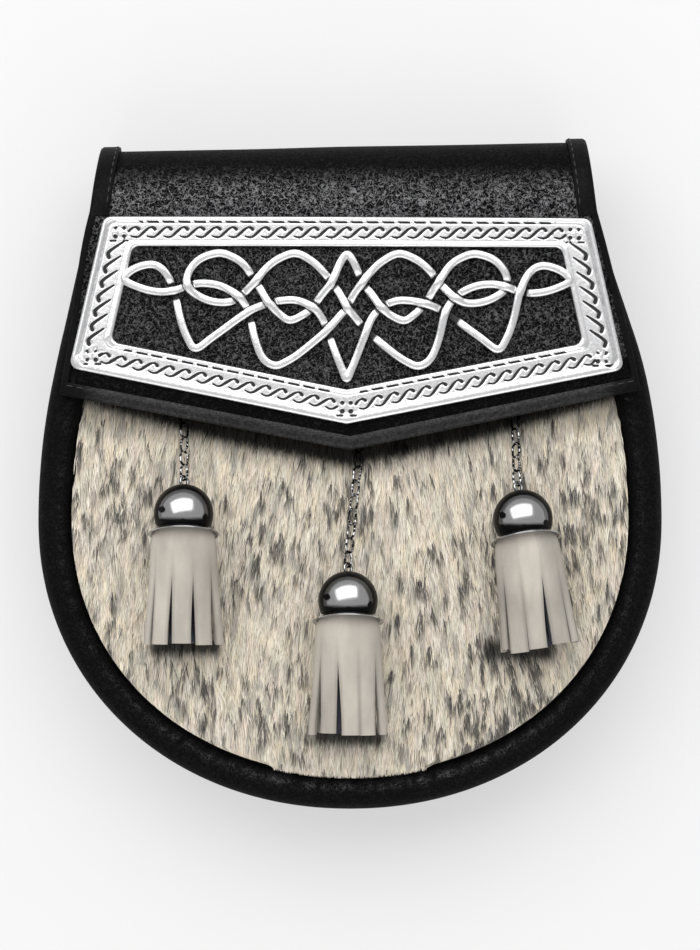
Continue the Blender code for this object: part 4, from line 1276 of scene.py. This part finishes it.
# Heights across the border from its outer edge, in millimetres, at shares of its width: the top
# and sides have their thin groove outside the rope, and the lower borders have it inside
HIGH_PROFILE = (
    (0.000, 0.90), (0.015, 1.32), (0.040, 1.62), (0.080, 1.72), (0.120, 1.64), (0.150, 1.36),
    (0.165, 0.90), (0.215, 0.90), (0.232, 1.32), (0.255, 1.42), (0.300, 1.42), (0.530, 1.40),
    (0.770, 1.42), (0.795, 1.36), (0.830, 1.50), (0.900, 1.70), (0.955, 1.60), (0.985, 1.32),
    (1.000, 0.90),
)
LOW_PROFILE = (
    (0.000, 0.90), (0.015, 1.30), (0.045, 1.56), (0.110, 1.70), (0.200, 1.68), (0.270, 1.48),
    (0.310, 1.42), (0.490, 1.40), (0.720, 1.42), (0.788, 1.42), (0.803, 1.30), (0.816, 0.90),
    (0.860, 0.90), (0.874, 1.34), (0.915, 1.66), (0.955, 1.60), (0.985, 1.32), (1.000, 0.90),
)
BORDER_ROWS = (
    [0.0, 0.015, 0.040, 0.080, 0.120, 0.150, 0.165, 0.190, 0.215, 0.232, 0.255]
    + [0.278 + 0.0212 * k for k in range(25)]
    + [0.803, 0.816, 0.838, 0.860, 0.874, 0.915, 0.955, 0.985, 1.0]
)
CORNER_STEPS = 5
SIDE_STEPS = (530, 165, 300, 300, 165)

# Strokes cut between the turns of the rope, in millimetres: along, across and half width
ROPE_STROKE = (
    (-3.75, -1.15, 0.24), (-2.90, -1.42, 0.33), (-1.95, -1.45, 0.38), (-1.10, -1.05, 0.47),
    (0.00, -0.05, 0.55), (1.10, 0.95, 0.50), (1.90, 1.42, 0.37), (2.55, 1.50, 0.38),
    (3.10, 1.25, 0.56), (3.45, 0.90, 0.62),
)
SIDE_STROKE = (
    (-2.85, -1.75, 0.34), (-1.20, -0.15, 0.52), (0.45, 1.35, 0.58), (1.60, 2.00, 0.68),
    (2.70, 1.50, 0.74),
)
ROPE_SHARES = (0.53, 0.545, 0.49, 0.49, 0.545)
CUT_DEPTH = 0.00050
CORNER_ROOM = 0.0029
ROPE_END_ROOM = 0.0025
SIDE_ROOM = 0.0053
BOSS_SPACING = 0.00127
BOSS_RADIUS = 0.00088
CORNER_DOT_RADIUS = 0.00040
# Shares of the border's width between which the thin groove of its high and low sides lies
HIGH_GROOVE = (0.16, 0.22)
LOW_GROOVE = (0.81, 0.865)


def border_stations():
    """Stations round the border: side, share along it, and how far round the corner ahead."""
    stations = []
    for side, steps in enumerate(SIDE_STEPS):
        stations += [(side, (i + 0.5) / steps, None) for i in range(steps)]
        stations += [(side, 1.0, (i + 0.5) / CORNER_STEPS) for i in range(CORNER_STEPS)]
    return stations


def border_point(corners, radius, station):
    """Where a station lies on one outline of the border."""
    side, share, bend = station
    count = len(corners)
    start, end = corners[side], corners[(side + 1) % count]
    after = corners[(side + 2) % count]
    along, on = (end - start).normalized(), (after - end).normalized()
    before = (start - corners[side - 1]).normalized()
    lead = radius * math.tan(before.angle(along) / 2)
    reach = radius * math.tan(along.angle(on) / 2)
    if bend is None:
        return start + along * mix(lead, (end - start).length - reach, share)
    turn = along.angle(on) * bend
    inward = Vector((along.y, -along.x))
    return end - along * reach + along * radius * math.sin(turn) + inward * radius * (
        1 - math.cos(turn))


def cut_samples(corners, widths):
    """Samples of every stroke and dot that is cut into the border: place and radius."""
    samples = []
    pitch = settings().metal.rope_pitch

    def cut(template, origin, along, across, low, high):
        points = [Vector(row) * 0.001 for row in template]
        for point in curve_through(points, 5, closed=False):
            if low < point.x < high:
                samples.append((origin + along * point.x + across * point.y, point.z))

    for side in range(5):
        share = ROPE_SHARES[side]
        line = corner_lines(corners, [width * share for width in widths])
        start, end = line[side], line[(side + 1) % 5]
        upright = side in (1, 4)
        if side in (2, 3, 4):
            start, end = end, start
        span = (end - start).length
        along = (end - start).normalized()
        across = Vector((-along.y, along.x)) * (-1 if side == 4 else 1)
        if upright:
            count = round((span - 2 * SIDE_ROOM) / pitch)
            for k in range(count + 1):
                middle = mix(SIDE_ROOM, span - SIDE_ROOM, k / count)
                cut(SIDE_STROKE, start + along * middle, along, across, -1, 1)
        else:
            count = round((span - 2 * ROPE_END_ROOM) / pitch)
            for k in range(count + 1):
                middle = mix(ROPE_END_ROOM, span - ROPE_END_ROOM, k / count)
                cut(ROPE_STROKE, start + along * middle, along, across,
                    CORNER_ROOM - middle, span - CORNER_ROOM - middle)
    line = corner_lines(corners, [width * share for width, share in zip(widths, ROPE_SHARES)])
    for corner in line:
        for x in (-1, 1):
            for y in (-1, 1):
                spot = corner + Vector((x, y)) * BOSS_SPACING
                samples.append((spot, BOSS_RADIUS * (1.0 if y < 0 else 0.85)))
            for step in range(5):
                spot = corner + Vector((x * (0.0013 + step * 0.00036), -0.0026))
                samples.append((spot, CORNER_DOT_RADIUS))
    return samples


def build_border(silver):
    """The cast border of the cantle: beads, a thin broken groove and the rope's cut strokes."""
    corners, widths = plate_corners()
    stations = border_stations()
    rows = [(0.0, False)] + [(share, True) for share in BORDER_ROWS] + [(1.0, False), (0.5, False)]
    outlines = {
        share: corner_lines(corners, [width * share for width in widths])
        for share in {row[0] for row in rows}
    }
    samples = cut_samples(corners, widths)
    tree = KDTree(len(samples))
    for i, (spot, _) in enumerate(samples):
        tree.insert((spot.x, spot.y, 0), i)
    tree.balance()
    pitch = settings().metal.rope_pitch
    profiles = {False: tuple(zip(*HIGH_PROFILE)), True: tuple(zip(*LOW_PROFILE))}
    relief = []

    def place(u, v):
        share, above = rows[round(u * len(rows)) % len(rows)]
        station = stations[round(v * len(stations)) % len(stations)]
        radius = mix(PLATE_CORNER_RADIUS, OPENING_RADIUS, share)
        point = border_point(outlines[share], radius, station)
        if not above:
            relief.append(0.8)
            return bowed(Vector((point.x, point.y, 0.0)))
        side, along, bend = station
        low_side = side in (2, 3)
        height = float(np.interp(share, *profiles[low_side])) * 0.001
        near, far = LOW_GROOVE if low_side else HIGH_GROOVE
        raised = 1.0
        if near < share < far:
            line = outlines[share]
            length = (line[(side + 1) % 5] - line[side]).length
            beat = (along * length / pitch) % 1.0
            if side in (1, 4):
                height, raised = height + 0.00022, 0.46
            elif bend is not None or beat > 0.72 or not 0.05 < along < 0.95:
                height, raised = height + 0.00048, 1.0
            else:
                raised = 0.12
        deep = 0.0
        for _, index, gap in tree.find_range((point.x, point.y, 0), 0.0010):
            deep = max(deep, 1.25 - (gap / samples[index][1]) ** 2)
        deep = min(1.0, max(0.0, deep))
        relief.append(raised * (1 - deep))
        return bowed(Vector((point.x, point.y, height - CUT_DEPTH * deep)))

    piece = skin("cantle_border", len(rows), len(stations), place)
    marked(piece, "relief", relief)
    close(piece)
    smooth(piece, 50)
    return dress(piece, silver, "cast_silver", "cantle_plate")


def knot_route():
    """The whole of the endless strand, as points with over and under heights."""
    corners, widths = plate_corners()
    opening = corner_lines(corners, widths)
    half, top = opening[2].x, opening[0].y - KNOT_GAP
    drop = (top - opening[3].y) * KNOT_DROP
    loops = [(-across, down, level) for across, down, level in KNOT_LOOPS]
    legs = [(-across, down, level) for across, down, level in KNOT_LEGS]

    def mirrored(rows):
        return [(-across, down, -level) for across, down, level in rows]

    rows = loops + [(*KNOT_CENTRE, 1)] + mirrored(legs) + [(*KNOT_FOOT, 0)]
    rows += legs[::-1] + [(*KNOT_CENTRE, -1)] + mirrored(loops[:0:-1])
    middle_z = GAP + STRAND_STEP / 2
    return [
        Vector((across / KNOT_ACROSS * half, top - down / KNOT_DOWN * drop,
                middle_z + level * STRAND_STEP / 2))
        for across, down, level in rows
    ]


# Half circle of the strand, flattened on top: across as a share of its width, and up
STRAND_PROFILE = (
    (-0.50, 0.00), (-0.50, 0.48), (-0.46, 0.78), (-0.36, 0.93), (-0.14, 1.00), (0.14, 1.00),
    (0.36, 0.93), (0.46, 0.78), (0.50, 0.48), (0.50, 0.00), (0.0, 0.0),
)


def build_knot(silver):
    """The strand of the knot, rounded on top, and low and blackened where it passes under."""
    points = curve_through(knot_route(), 6)
    count = len(points)
    middle_z = GAP + STRAND_STEP / 2
    relief = []

    def place(u, v):
        i = round(v * count) % count
        across, up = STRAND_PROFILE[round(u * len(STRAND_PROFILE)) % len(STRAND_PROFILE)]
        ahead = points[(i + 1) % count] - points[i - 1]
        side = Vector((ahead.y, -ahead.x, 0)).normalized()
        level = (points[i].z - middle_z) / (STRAND_STEP / 2)
        shown = ramp(level, -0.92, -0.55)
        point = points[i] + side * (across * STRAND_WIDTH * mix(0.8, 1.0, shown))
        relief.append(ramp(up, 0.25, 0.62) * shown)
        return point + Vector((0, 0, up * STRAND_HEIGHT * mix(0.3, 1.0, shown)))

    knot = skin("cantle_knot", len(STRAND_PROFILE), count, place)
    marked(knot, "relief", relief)
    close(knot)
    for corner in knot.data.vertices:
        corner.co = bowed(corner.co)
    smooth(knot, 60)
    return dress(knot, silver, "cast_silver", "cantle_plate")


# Tassels


def fur_tree():
    """The solid fur, for finding what the bells and chains rest on."""
    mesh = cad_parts["fur_panel"].data
    return BVHTree.FromPolygons([corner.co for corner in mesh.vertices],
                                [tuple(face.vertices) for face in mesh.polygons])


def height_over(tree, x, y, spread=0.0):
    """Highest point of the fur within a small square round a place."""
    heights = []
    for column in range(-2, 3):
        for row in range(-2, 3):
            above = Vector((x + spread * column / 2, y + spread * row / 2, 1.0))
            place, _, _, _ = tree.ray_cast(above, Vector((0, 0, -1)))
            if place:
                heights.append(place.z)
    return max(heights)


def bell_frame(tassel_row, tree):
    """Place of a bell: its brim's middle, with +Z towards the chain."""
    _, x, y, turn, _, _, _ = tassel_row
    x, y, turn = x * BODY_HALF_WIDTH, y * BODY_HALF_WIDTH, math.radians(turn)
    flat = math.cos(BELL_TIP)
    axis = Vector((-math.sin(turn) * flat, math.cos(turn) * flat, -math.sin(BELL_TIP)))
    side = Vector((math.cos(turn), math.sin(turn), 0))
    brim = Vector((x, y, 0)) - axis * BELL_LENGTH
    brim.z = height_over(tree, brim.x, brim.y, SEAM * 5) + GAP + BELL_BRIM_RADIUS
    return axes_at(side, axis.cross(side), brim)


def bell_profile():
    """Outline of a bell from its top to the brim and back up inside: radius and height."""
    ball = [
        (BELL_RADIUS * math.sin(turn), BELL_LENGTH - BELL_RADIUS * (1 - math.cos(turn)))
        for turn in (math.radians(118) * i / 35 for i in range(36))
    ]
    return ball + [
        (0.00775, 0.0017), (0.00790, 0.0014), (0.00850, 0.0011), (0.00930, 0.0007),
        (0.01000, 0.0004), (0.01060, 0.0001), (0.01080, -0.0001), (0.01070, -0.0003),
        (0.01030, -0.0003), (0.00930, 0.0001), (0.00820, 0.0007), (0.00720, 0.0013),
        (0.00700, 0.0040), (0.00620, 0.0100), (0.00380, 0.0130), (0.0, 0.0141),
    ]


# Painted dark reflections in a bell's polish, by the way the metal faces
BELL_SPOTS = ((-0.70, 0.15, 0.12), (-0.72, -0.28, 0.14), (0.74, -0.10, 0.10), (0.02, -0.28, 0.13))


def build_bell(tassel_row, tree, finish):
    """The polished bell at the head of a tassel, with its eye, and with painted dark reflections on
    its flanks.
    """
    rows = bell_profile()

    def place(u, v):
        radius, height = rows[round(v * (len(rows) - 1))]
        turn = 2 * math.pi * (round(u * BELL_SEGMENTS) % BELL_SEGMENTS) / BELL_SEGMENTS
        return Vector((radius * math.cos(turn), radius * math.sin(turn), height))

    bell = skin("bell", BELL_SEGMENTS, len(rows) - 1, place)
    close(bell)
    upright = Matrix.Rotation(math.radians(45), 4, "Z") @ Matrix.Rotation(math.radians(90), 4, "X")
    eye = wire_ring(24, EYE_RADIUS, EYE_WIRE)
    eye.data.transform(Matrix.Translation((0, 0, BELL_LENGTH + EYE_RADIUS * 0.75)) @ upright)
    bell = joined("bell_" + tassel_row[0], [bell, eye])
    heights = [corner.co.z for corner in bell.data.vertices]
    bell.data.transform(bell_frame(tassel_row, tree))
    relief = []
    for corner, height in zip(bell.data.vertices, heights):
        facing = corner.normal
        # Painted dark reflections of the surroundings on the flanks, on the lower side and in
        # spots, by the way the metal faces; the groove above the brim is blackened.
        flank = max(1 - ramp(facing.z, 0.50, 0.62), 0.6 - 0.6 * ramp(facing.z, 0.69, 0.77))
        flank *= ramp(facing.z, -0.15, 0.10)
        under = 0.75 * ramp(-facing.y, 0.0, 0.20) + 0.25 * ramp(-facing.y, 0.20, 0.34)
        for across, down, reach in BELL_SPOTS:
            away = (Vector((facing.x, facing.y)) - Vector((across, down))).length
            flank = max(flank, 1 - ramp(away, reach * 0.6, reach * 1.3))
        groove = 1 - ramp(abs(height - BELL_GROOVE_HEIGHT), 0.0002, 0.0006)
        ball = ramp(height, BELL_GROOVE_HEIGHT, 0.0020)
        relief.append(1 - min(1.0, max(flank * ball, under * ball, groove)))
    marked(bell, "relief", relief)
    smooth(bell, 60)
    return dress(bell, finish, "polished_metal", "cap_" + tassel_row[0])


def section_at(along):
    """Half width, half depth and height of a tassel at a share of its length."""
    rows = TASSEL_SECTIONS
    for low, high in zip(rows, rows[1:]):
        if along <= high[0] or high is rows[-1]:
            share = (along - low[0]) / (high[0] - low[0])
            return [mix(low[k], high[k], share) for k in (1, 2, 3)]
    return list(rows[-1][1:])


def build_tassel(tassel_row, tree, finish):
    """Leather strips hanging from a bell: an outer row and two inner ones."""
    name, _, _, _, length, _, _ = tassel_row
    length *= BODY_HALF_WIDTH
    bundle = bell_frame(tassel_row, tree)
    side = bundle.col[0].xyz
    down = Vector((side.y, -side.x, 0))
    brim = bundle.translation
    values = settings().tassel
    seed = {"left": 3.0, "centre": 17.0, "right": 31.0}[name]
    strips = []
    layers = ((values.strips, 0.955, 0.0, 1.0), (7, 0.66, 0.4, 0.965), (4, 0.36, 0.9, 0.985))
    for count, reach, offset, end in layers:
        for strip in range(count):
            stray = noise.noise(Vector((seed, strip * 2.3, reach * 9)))
            lean = noise.noise(Vector((seed, strip * 1.7, reach * 5 + 40)))

            def place(u, v):
                along = mix(-0.10, end + 0.035 * stray, v)
                width, depth, height = section_at(min(along, 1.0))
                half = math.pi / count * (1.05 - (0.08 + 0.60 * abs(lean)) * ramp(along, 0.10, 1.0))
                twist = 0.20 * lean * ramp(along, 0.1, 1.0)
                turn = 2 * math.pi * (strip + 0.5 + offset) / count + twist + (2 * u - 1) * half
                centre = 2 * math.pi * (strip + 0.5 + offset) / count + twist
                flat = math.cos(half) / math.cos(turn - centre)
                curl = 1 + 0.05 * math.cos((2 * u - 1) * math.pi / 2) - 0.03
                out = reach * mix(1.0, flat, 0.8) * curl
                out *= 1 + 0.05 * stray * ramp(along, 0.3, 1.0)
                middle = brim + down * (along * length)
                ground = height_over(tree, middle.x, middle.y, 0.0)
                middle.z = mix(brim.z - BELL_BRIM_RADIUS, ground + GAP, max(0.0, along))
                middle.z += height * BELL_BRIM_RADIUS
                point = middle + side * (math.cos(turn) * width * TASSEL_HALF_WIDTH * out)
                point.z += math.sin(turn) * depth * TASSEL_HALF_DEPTH * out
                point.z = max(point.z, ground + GAP + values.thickness)
                return point

            piece = skin("strip", 6, 18, place)
            # Inner strips painted dark as painted shade; outer strips get a random darker tone.
            inner = 0.24 * abs(stray) if reach > 0.9 else 1.0
            marked(piece, "inner", [inner] * len(piece.data.vertices))
            modify(piece, "SOLIDIFY", thickness=values.thickness, offset=0.0)
            strips.append(piece)
    tassel = joined("strips_" + name, strips)
    edit(tassel)
    bpy.ops.mesh.normals_make_consistent(inside=False)
    bpy.ops.object.mode_set(mode="OBJECT")
    smooth(tassel, 45)
    return dress(tassel, finish, "cream_leather", "tassel_" + name)


def chain_route(tassel_row, tree):
    """Middle points of the links, from inside the bell's eye to the hidden staple."""
    end_x, links = tassel_row[5] * BODY_HALF_WIDTH, tassel_row[6]
    bell = bell_frame(tassel_row, tree)
    tip = BELL_LENGTH + EYE_RADIUS * 1.75 - EYE_WIRE / 2 - GAP - LINK_WIRE / 2
    start = bell @ Vector((0, 0, tip))
    pitch = LINK_LENGTH - 2 * LINK_WIRE + LINK_BITE
    lift = (LINK_WIDTH - LINK_WIRE) / 2 * math.sqrt(0.5) + LINK_WIRE / 2
    first = bell @ Vector((0, 0, tip + LINK_LENGTH / 2 - LINK_WIRE / 2))
    route = [first]
    for link in range(1, links):
        y = first.y + link * pitch
        x = mix(first.x, end_x, link / (links - 1))
        low = height_over(tree, x, y, LINK_LENGTH * 0.4) + GAP + lift
        route.append(Vector((x, y, max(low, mix(first.z, low, min(1.0, link / 3))))))
    return start, route


def build_chain(tassel_row, tree, finish):
    """The links and the staple that holds the last one."""
    start, route = chain_route(tassel_row, tree)
    link = wire_ring(28, (LINK_WIDTH - LINK_WIRE) / 2, LINK_WIRE)
    stretch = (LINK_LENGTH - LINK_WIDTH) / 2
    for corner in link.data.vertices:
        if abs(corner.co.y) > LINK_WIRE / 10:
            corner.co.y += math.copysign(stretch, corner.co.y)
    places = []
    before = start
    for i, middle in enumerate(route):
        after = route[i + 1] if i + 1 < len(route) else middle + (middle - before)
        heading = (after - before).normalized() if i else (middle - before).normalized()
        side = heading.cross(Vector((0, 0, 1))).normalized()
        roll = Matrix.Rotation(math.radians(45 if i % 2 else -45), 4, "Y")
        places.append(axes_at(side, heading, middle) @ roll)
        before = middle
    chain = repeated("links", link, places)
    last = route[-1]
    foot_y = last.y + LINK_LENGTH / 2
    foot_z = height_over(tree, last.x, foot_y, STAPLE_RADIUS) + GAP
    height = last.z - foot_z + LINK_WIRE / 2
    washer = pin(24, STAPLE_RADIUS, STAPLE_THICKNESS, last.x, foot_y, foot_z)
    modify(washer, "BEVEL", width=0.0002, segments=2)
    post = pin(12, LINK_WIRE * 0.8, height, last.x, foot_y, foot_z)
    piece = joined("links_" + tassel_row[0], [chain, washer, post])
    # Painted shade under the flap, for the links' colour.
    spots = np.array([corner.co for corner in piece.data.vertices])
    marked(piece, "shade", shade_under(spots[:, 0], spots[:, 1]))
    smooth(piece, 50)
    return dress(piece, finish, "polished_metal", "chain_" + tassel_row[0])


# Fastenings


def build_loop(name, x):
    """A belt loop on the back: one strap bent into a bridge."""
    half = LOOP_LENGTH / 2
    top, low = BACK_Z - GAP, LOOP_FLOOR_GAP
    foot = (
        (half - 0.0001, top), (half - 0.0001, top - 0.0009), (half - 0.0022, low + 0.0012),
        (half - 0.0055, low + 0.0010),
    )
    path = [Vector((0, -y, z)) for y, z in foot] + [Vector((0, 0, low + 0.0010))]
    path += [Vector((0, y, z)) for y, z in reversed(foot)]
    fine = curve_through(path, 5, closed=False)

    def place(u, v):
        point = fine[round(v * (len(fine) - 1))]
        return Vector((x + (u - 0.5) * LOOP_WIDTH, LOOP_Y + point.y, point.z))

    strap = skin(name, 8, len(fine) - 1, place)
    modify(strap, "SOLIDIFY", thickness=LOOP_LEATHER, offset=0.0)
    modify(strap, "BEVEL", width=0.0002, segments=2)
    smooth(strap, 50)
    for corner in strap.data.vertices:
        corner.co.z = min(max(corner.co.z, low), top)
    return strap


def build_fastenings(leather, metal):
    for name, side in (("left", -1), ("right", 1)):
        strap = build_loop("belt_strap_" + name, side * LOOP_X)
        dress(strap, leather, "black_leather", "belt_loop_" + name)
    coat(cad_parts["snap_stud"], metal)


# Stage


def build_stage():
    """The pale floor, the soft lights and the camera above."""
    deselect()
    bpy.ops.mesh.primitive_plane_add(size=6.0, location=(0, 0, -0.0004))
    bpy.ops.object.transform_apply(location=True)
    floor = bpy.context.object
    floor.name = "floor"
    floor.data.materials.append(floor_finish())
    for name, place, size, power in LIGHTS:
        deselect()
        bpy.ops.object.light_add(type="AREA", location=place)
        lamp = bpy.context.object
        lamp.name = name
        lamp.data.shape = "RECTANGLE"
        lamp.data.size, lamp.data.size_y = size
        lamp.data.energy = power
        lamp.visible_camera = False
        lamp.rotation_euler = (Vector(LIT_PLACE) - Vector(place)).to_track_quat(
            "-Z", "Y").to_euler()
    world = bpy.data.worlds.new("studio")
    world.use_nodes = True
    sky = world.node_tree.nodes["Background"]
    sky.inputs["Color"].default_value = (1, 1, 1, 1)
    sky.inputs["Strength"].default_value = WORLD_STRENGTH
    bpy.context.scene.world = world
    deselect()
    bpy.ops.object.camera_add(location=(0, CAMERA_Y, CAMERA_HEIGHT), rotation=(0, 0, 0))
    camera = bpy.context.object
    camera.data.lens = (
        camera.data.sensor_width * (CAMERA_HEIGHT - FRAME_PLANE_Z) / FRAME_HEIGHT)
    bpy.context.scene.camera = camera
    bpy.context.scene.view_settings.view_transform = "Standard"


# Operators


class PieceOperator:
    """What every step of the pouch shares."""

    bl_options = {"REGISTER", "UNDO"}

    def execute(self, context):
        self.make()
        return {"FINISHED"}


# Leathers: shares of the grain's pitch and depth, then gloss, grey of the painted highlight on the
# grain, contrast
LEATHERS = {
    "grained_leather": (1.0, 1.0, 1.0, 0.24, 1.3),
    "smooth_leather": (0.7, 0.2, 0.5, 0.06, 1.6),
    "strip_leather": (1.0, 0.15, 0.9, 0.055, 0.35),
}


def leather_named(name):
    """One of the leathers, made when it is first asked for."""
    values = settings().leather
    pitch, depth, gloss, wear_and_sheen, contrast = LEATHERS[name]
    return bpy.data.materials.get(name) or leather_finish(
        name, values.grain * pitch, values.grain_depth * depth, gloss, wear_and_sheen, contrast)


class SPORRAN_OT_stage(PieceOperator, Operator):
    """Sets the floor, the lights and the camera"""

    bl_idname = "sporran.stage"
    bl_label = "Stage"

    def make(self):
        build_stage()


class SPORRAN_OT_sheet(PieceOperator, Operator):
    """Makes the back panel and the flap from one sheet of leather"""

    bl_idname = "sporran.sheet"
    bl_label = "Back and Flap"

    def make(self):
        build_sheet(leather_named("grained_leather"))


class SPORRAN_OT_binding(PieceOperator, Operator):
    """Binds the edge of the flap"""

    bl_idname = "sporran.binding"
    bl_label = "Binding"

    def make(self):
        build_binding(leather_named("strip_leather"), thread_finish())


class SPORRAN_OT_walls(PieceOperator, Operator):
    """Makes the walls of the pouch"""

    bl_idname = "sporran.walls"
    bl_label = "Walls"

    def make(self):
        build_walls(leather_named("grained_leather"))


class SPORRAN_OT_rims(PieceOperator, Operator):
    """Makes the rolled rims"""

    bl_idname = "sporran.rims"
    bl_label = "Rims"

    def make(self):
        build_rims(leather_named("smooth_leather"))


class SPORRAN_OT_fur(PieceOperator, Operator):
    """Makes the hide and its hair"""

    bl_idname = "sporran.fur"
    bl_label = "Fur"

    def make(self):
        build_fur(hide_finish(), hair_finish())


class SPORRAN_OT_cantle(PieceOperator, Operator):
    """Makes the pierced cantle with its border, rope and knot"""

    bl_idname = "sporran.cantle"
    bl_label = "Cantle"

    def make(self):
        silver = silver_finish()
        build_border(silver)
        build_knot(silver)


class SPORRAN_OT_tassels(PieceOperator, Operator):
    """Makes the bells, the leather strips and the chains"""

    bl_idname = "sporran.tassels"
    bl_label = "Tassels"

    def make(self):
        tree = fur_tree()
        bell, strip, link = bell_finish(), strip_finish(), link_finish()
        for tassel_row in TASSELS:
            build_bell(tassel_row, tree, bell)
            build_tassel(tassel_row, tree, strip)
            build_chain(tassel_row, tree, link)


class SPORRAN_OT_fastenings(PieceOperator, Operator):
    """Makes the belt loops and finishes the press stud"""

    bl_idname = "sporran.fastenings"
    bl_label = "Fastenings"

    def make(self):
        build_fastenings(leather_named("smooth_leather"), link_finish())


class SPORRAN_PT_panel(Panel):
    """The steps of the pouch and their settings"""

    bl_label = "Sporran Pouch"
    bl_space_type = "VIEW_3D"
    bl_region_type = "UI"
    bl_category = "Sporran"

    def draw(self, context):
        for group in ("leather", "fur", "metal", "tassel"):
            box = self.layout.box()
            values = getattr(context.scene.sporran, group)
            for name in values.__annotations__:
                box.prop(values, name)
        for step in STEPS:
            self.layout.operator(step.bl_idname)


GROUPS = (SporranLeather, SporranFur, SporranMetal, SporranTassel, SporranSettings)
STEPS = (
    SPORRAN_OT_stage, SPORRAN_OT_sheet, SPORRAN_OT_binding, SPORRAN_OT_walls, SPORRAN_OT_rims,
    SPORRAN_OT_tassels, SPORRAN_OT_cantle, SPORRAN_OT_fur, SPORRAN_OT_fastenings,
)


def register():
    for group in (*GROUPS, *STEPS, SPORRAN_PT_panel):
        bpy.utils.register_class(group)
    bpy.types.Scene.sporran = PointerProperty(type=SporranSettings)


def unregister():
    del bpy.types.Scene.sporran
    for group in reversed((*GROUPS, *STEPS, SPORRAN_PT_panel)):
        bpy.utils.unregister_class(group)


def main():
    register()
    for step in STEPS:
        group, name = step.bl_idname.split(".")
        getattr(getattr(bpy.ops, group), name)()


if __name__ == "__main__":
    main()
